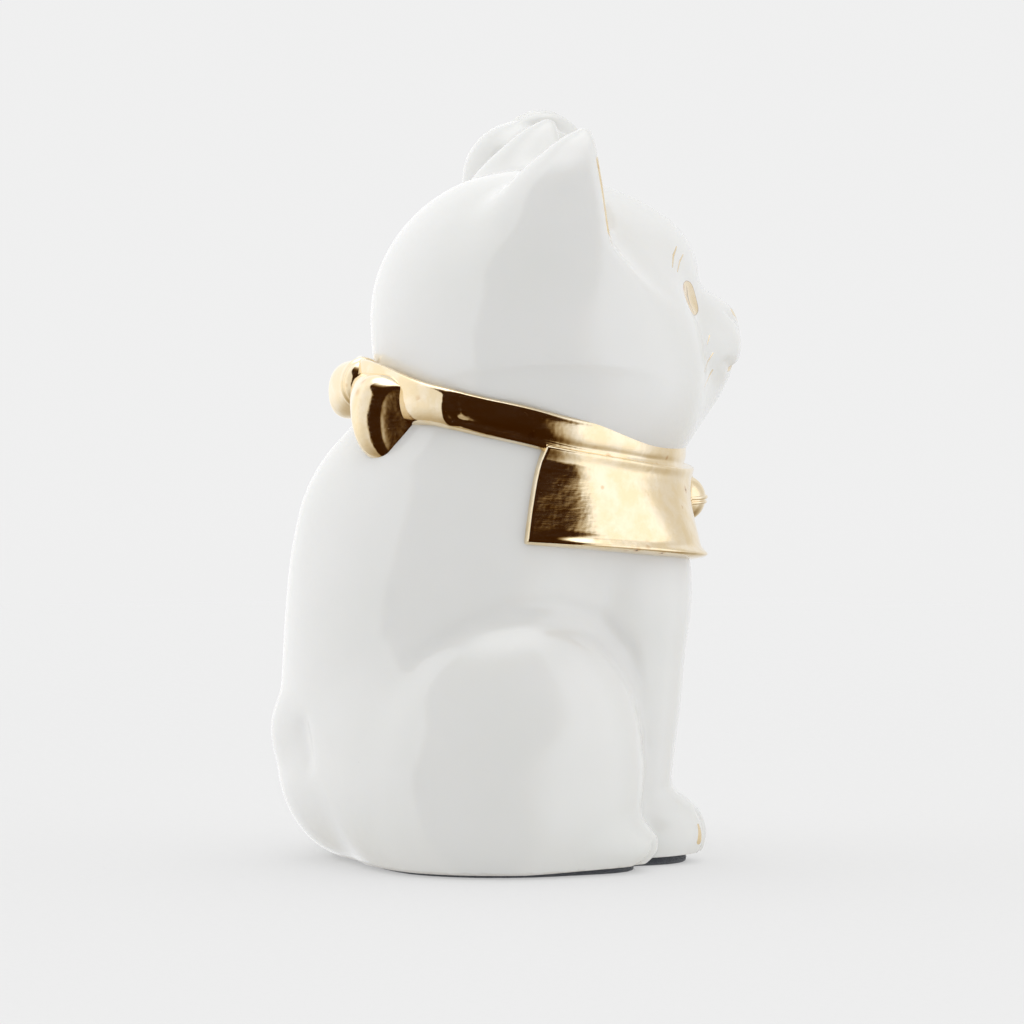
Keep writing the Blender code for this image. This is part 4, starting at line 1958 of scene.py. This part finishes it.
@dataclass
class Studio:
    """A pale floor in a bright tent that opens towards the viewer.

    Spans round the tent are in degrees from the viewer's direction, and heights in
    degrees above level.
    """

    azimuth: float = 261.0
    elevation: float = 4.65
    distance: float = 1.27
    aim: Triple = (0.0, 0.0004, 0.0431)
    lens: float = 357.0
    pale: float = 0.868
    opening_left: float = -56.0
    opening_right: float = 36.0
    opening_top: tuple[float, float] = (44.0, 74.0)
    panel_span: tuple[float, ...] = (36.0, 44.0, 88.0, 104.0)
    panel_top: tuple[float, float] = (38.0, 55.0)
    near_wing: tuple[float, float] = (-104.0, -62.0)
    far_wing: tuple[float, float] = (72.0, 104.0)
    roof_edge: tuple[float, float] = (50.0, 76.0)
    table_shade: tuple[float, ...] = (-48.0, -4.0, 0.45, 1.0)
    seam_span: tuple[float, ...] = (96.0, 118.0, 128.0, 150.0)
    seam_shade: float = 0.14
    tent_light: float = 0.86
    wing_gain: float = 0.22
    far_gain: float = 0.16
    panel_gleam: float = 0.30
    panel_glow: float = 0.10
    roof_gleam: float = 1.3
    roof_glow: float = 0.34
    floor_glow: float = 0.42
    mirrored_room: Colour = (0.035, 0.028, 0.022, 1.0)
    dim_room: Colour = (0.30, 0.30, 0.30, 1.0)
    warmth: Triple = (1.0, 1.26, 1.75)
    warm_below: float = 0.82

    def direction(self) -> Vector:
        """The way to the viewer.

        Returns:
            A unit vector.
        """
        a, e = math.radians(self.azimuth), math.radians(self.elevation)
        return Vector((math.sin(a) * math.cos(e), -math.cos(a) * math.cos(e), math.sin(e)))

    def bearings(self, g: Graph) -> tuple[bpy.types.NodeSocket, bpy.types.NodeSocket]:
        """Measure which way a ray looks, against the way to the viewer.

        Args:
            g: The world's graph.

        Returns:
            Degrees round from the viewer, and degrees above level.
        """
        split = g.node("SeparateXYZ")
        g.feed(split.inputs[0], g.node("TexCoord").outputs["Generated"])
        x, y, z = split.outputs
        a = math.radians(self.azimuth)
        toward, across = (math.sin(a), -math.cos(a)), (math.cos(a), math.sin(a))
        near = g.math("MULTIPLY_ADD", y, toward[1], g.math("MULTIPLY", x, toward[0]))
        right = g.math("MULTIPLY_ADD", y, across[1], g.math("MULTIPLY", x, across[0]))
        turn = g.math("MULTIPLY", g.math("ARCTAN2", right, near), math.degrees(1.0))
        rise = g.math("MULTIPLY", g.math("ARCSINE", z), math.degrees(1.0))
        return turn, rise

    def opening(
        self, g: Graph, turn: bpy.types.NodeSocket, rise: bpy.types.NodeSocket
    ) -> bpy.types.NodeSocket:
        """Cut the tent open behind the viewer, wider towards the top.

        Args:
            g: The world's graph.
            turn: Degrees round from the viewer.
            rise: Degrees above level.

        Returns:
            1 in the opening.
        """
        left = g.math("MULTIPLY_ADD", g.ramp(rise, -3.0, 7.0), 5.0, self.opening_left)
        left = g.math("MULTIPLY_ADD", g.ramp(rise, 20.0, 50.0), -28.0, left)
        right = g.math("MULTIPLY_ADD", g.ramp(rise, -2.0, 18.0), 20.0, self.opening_right)
        past_left = g.ramp(turn, left, g.math("ADD", left, 7.0))
        soft, sharp = g.math("SUBTRACT", right, 20.0), g.math("ADD", right, 2.0)
        gap = g.math("MULTIPLY", past_left, g.fade(turn, soft, sharp))
        return g.math("MULTIPLY", gap, g.fade(rise, *self.opening_top))

    def warmed(self, g: Graph, colour: bpy.types.NodeSocket) -> bpy.types.NodeSocket:
        """Tint the dim parts of what the glaze and the gold mirror.

        Args:
            g: The world's graph.
            colour: What they mirror.

        Returns:
            The tinted colour.
        """
        parts = g.node("SeparateColor")
        g.feed(parts.inputs[0], colour)
        tinted = g.node("CombineColor")
        for i, power in enumerate(self.warmth):
            part = parts.outputs[i]
            share = g.math("MINIMUM", g.math("DIVIDE", part, self.warm_below), 1.0)
            bright = g.math("MAXIMUM", part, self.warm_below)
            g.feed(tinted.inputs[i], g.math("MULTIPLY", g.math("POWER", share, power), bright))
        return tinted.outputs[0]

    def light(self) -> None:
        """Light the scene from all round, with a dim opening behind the viewer."""
        world = bpy.data.worlds.new("studio_tent")
        bpy.context.scene.world = world
        world.use_nodes = True
        tree = world.node_tree
        tree.nodes.clear()
        g = Graph(tree)
        turn, rise = self.bearings(g)
        opening = self.opening(g, turn, rise)
        panel = g.math("MULTIPLY", g.band(turn, *self.panel_span), g.fade(rise, *self.panel_top))
        near_wing = g.fade(turn, *self.near_wing)
        wings = g.math("MULTIPLY_ADD", near_wing, self.wing_gain, self.tent_light)
        tent = g.math("MULTIPLY_ADD", g.ramp(turn, *self.far_wing), self.far_gain, wings)
        roof = g.ramp(rise, *self.roof_edge)
        gleam = g.math("MULTIPLY_ADD", panel, self.panel_gleam, wings)
        gleam = g.math("MULTIPLY_ADD", roof, self.roof_gleam, gleam)
        gleam = g.math("MULTIPLY", gleam, g.ramp(rise, *self.table_shade))
        seam = g.scaled(g.band(turn, *self.seam_span), self.seam_shade)
        gleam = g.math("MULTIPLY", gleam, g.math("SUBTRACT", 1.0, seam))
        mirrored = self.warmed(g, g.blend(opening, gleam, self.mirrored_room))
        glow = g.math("MULTIPLY_ADD", panel, self.panel_glow, tent)
        glow = g.math("MULTIPLY_ADD", roof, self.roof_glow, glow)
        soft = g.blend(g.scaled(opening, 0.30), glow, self.dim_room)
        path = g.node("LightPath")
        seen = g.blend(path.outputs["Is Glossy Ray"], soft, mirrored)
        backdrop = (self.pale, self.pale, self.pale, 1)
        seen = g.blend(path.outputs["Is Camera Ray"], seen, backdrop)
        back = g.node("Background")
        g.feed(back.inputs["Color"], seen)
        out = g.node("OutputWorld")
        tree.links.new(back.outputs[0], out.inputs[0])

    def floor(self) -> bpy.types.Object:
        """Lay the pale floor, which fades out into the tent.

        Returns:
            The floor.
        """
        bm = bmesh.new()
        bmesh.ops.create_circle(bm, cap_ends=True, segments=96, radius=0.6)
        ground = as_object("studio_floor", bm, smooth=False)
        mat = bpy.data.materials.new("pale_paper")
        mat.use_nodes = True
        g = Graph(mat.node_tree)
        bsdf = mat.node_tree.nodes["Principled BSDF"]
        place = g.node("TexCoord").outputs["Object"]
        grain = g.noise(place, 900.0, 3.0)
        g.feed(bsdf.inputs["Base Color"], g.blend(grain, (0.48, 0.48, 0.48, 1), (0.50, 0.50, 0.50, 1)))
        bsdf.inputs["Emission Color"].default_value = (self.pale, self.pale, self.pale, 1)
        bsdf.inputs["Emission Strength"].default_value = self.floor_glow
        bsdf.inputs["Roughness"].default_value = 0.9
        bsdf.inputs["Specular IOR Level"].default_value = 0.0
        g.feed(bsdf.inputs["Alpha"], g.fade(g.vector("LENGTH", place), 0.06, 0.58))
        ground.data.materials.append(mat)
        ground.visible_glossy = False
        return ground

    def camera(self) -> bpy.types.Object:
        """Set up the view.

        Returns:
            The camera.
        """
        data = bpy.data.cameras.new("view")
        data.lens = self.lens
        data.clip_start = 0.05
        cam = bpy.data.objects.new("view", data)
        bpy.context.scene.collection.objects.link(cam)
        cam.location = Vector(self.aim) + self.direction() * self.distance
        cam.rotation_euler = (-self.direction()).to_track_quat("-Z", "Y").to_euler()
        bpy.context.scene.camera = cam
        return cam

    def build(self) -> None:
        """Set up light, floor, camera and tone."""
        self.light()
        self.floor()
        self.camera()
        bpy.context.scene.view_settings.view_transform = "Standard"


def write_sizes(pieces: Sequence[bpy.types.Object]) -> None:
    """Measure the combined bounds of the finished pieces.

    Args:
        pieces: The finished pieces.
    """
    low = np.min([places_of(p).min(axis=0) for p in pieces], axis=0) * MM
    high = np.max([places_of(p).max(axis=0) for p in pieces], axis=0) * MM


def main() -> None:
    """Build every piece in order and report it."""
    logging.basicConfig(level=logging.INFO, format="%(message)s")
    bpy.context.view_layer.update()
    paints = Paints()
    gilt = GiltRelief("gold_lustre_relief").build(paints)
    figure = GlazedBody()
    body = figure.build(paints)
    pieces = [body, GlazedHead().build(paints), RibbonCollar().build(gilt)]
    pieces.append(Bib(figure.chest().distance).build(gilt))
    pieces += [Bell().build(gilt), *Bow().build(gilt), FeltPad().build(body)]
    for piece in pieces:
        LOG.info("%s: %d faces", piece.name, len(piece.data.polygons))
    Studio().build()
    write_sizes(pieces)


if __name__ == "__main__":
    main()
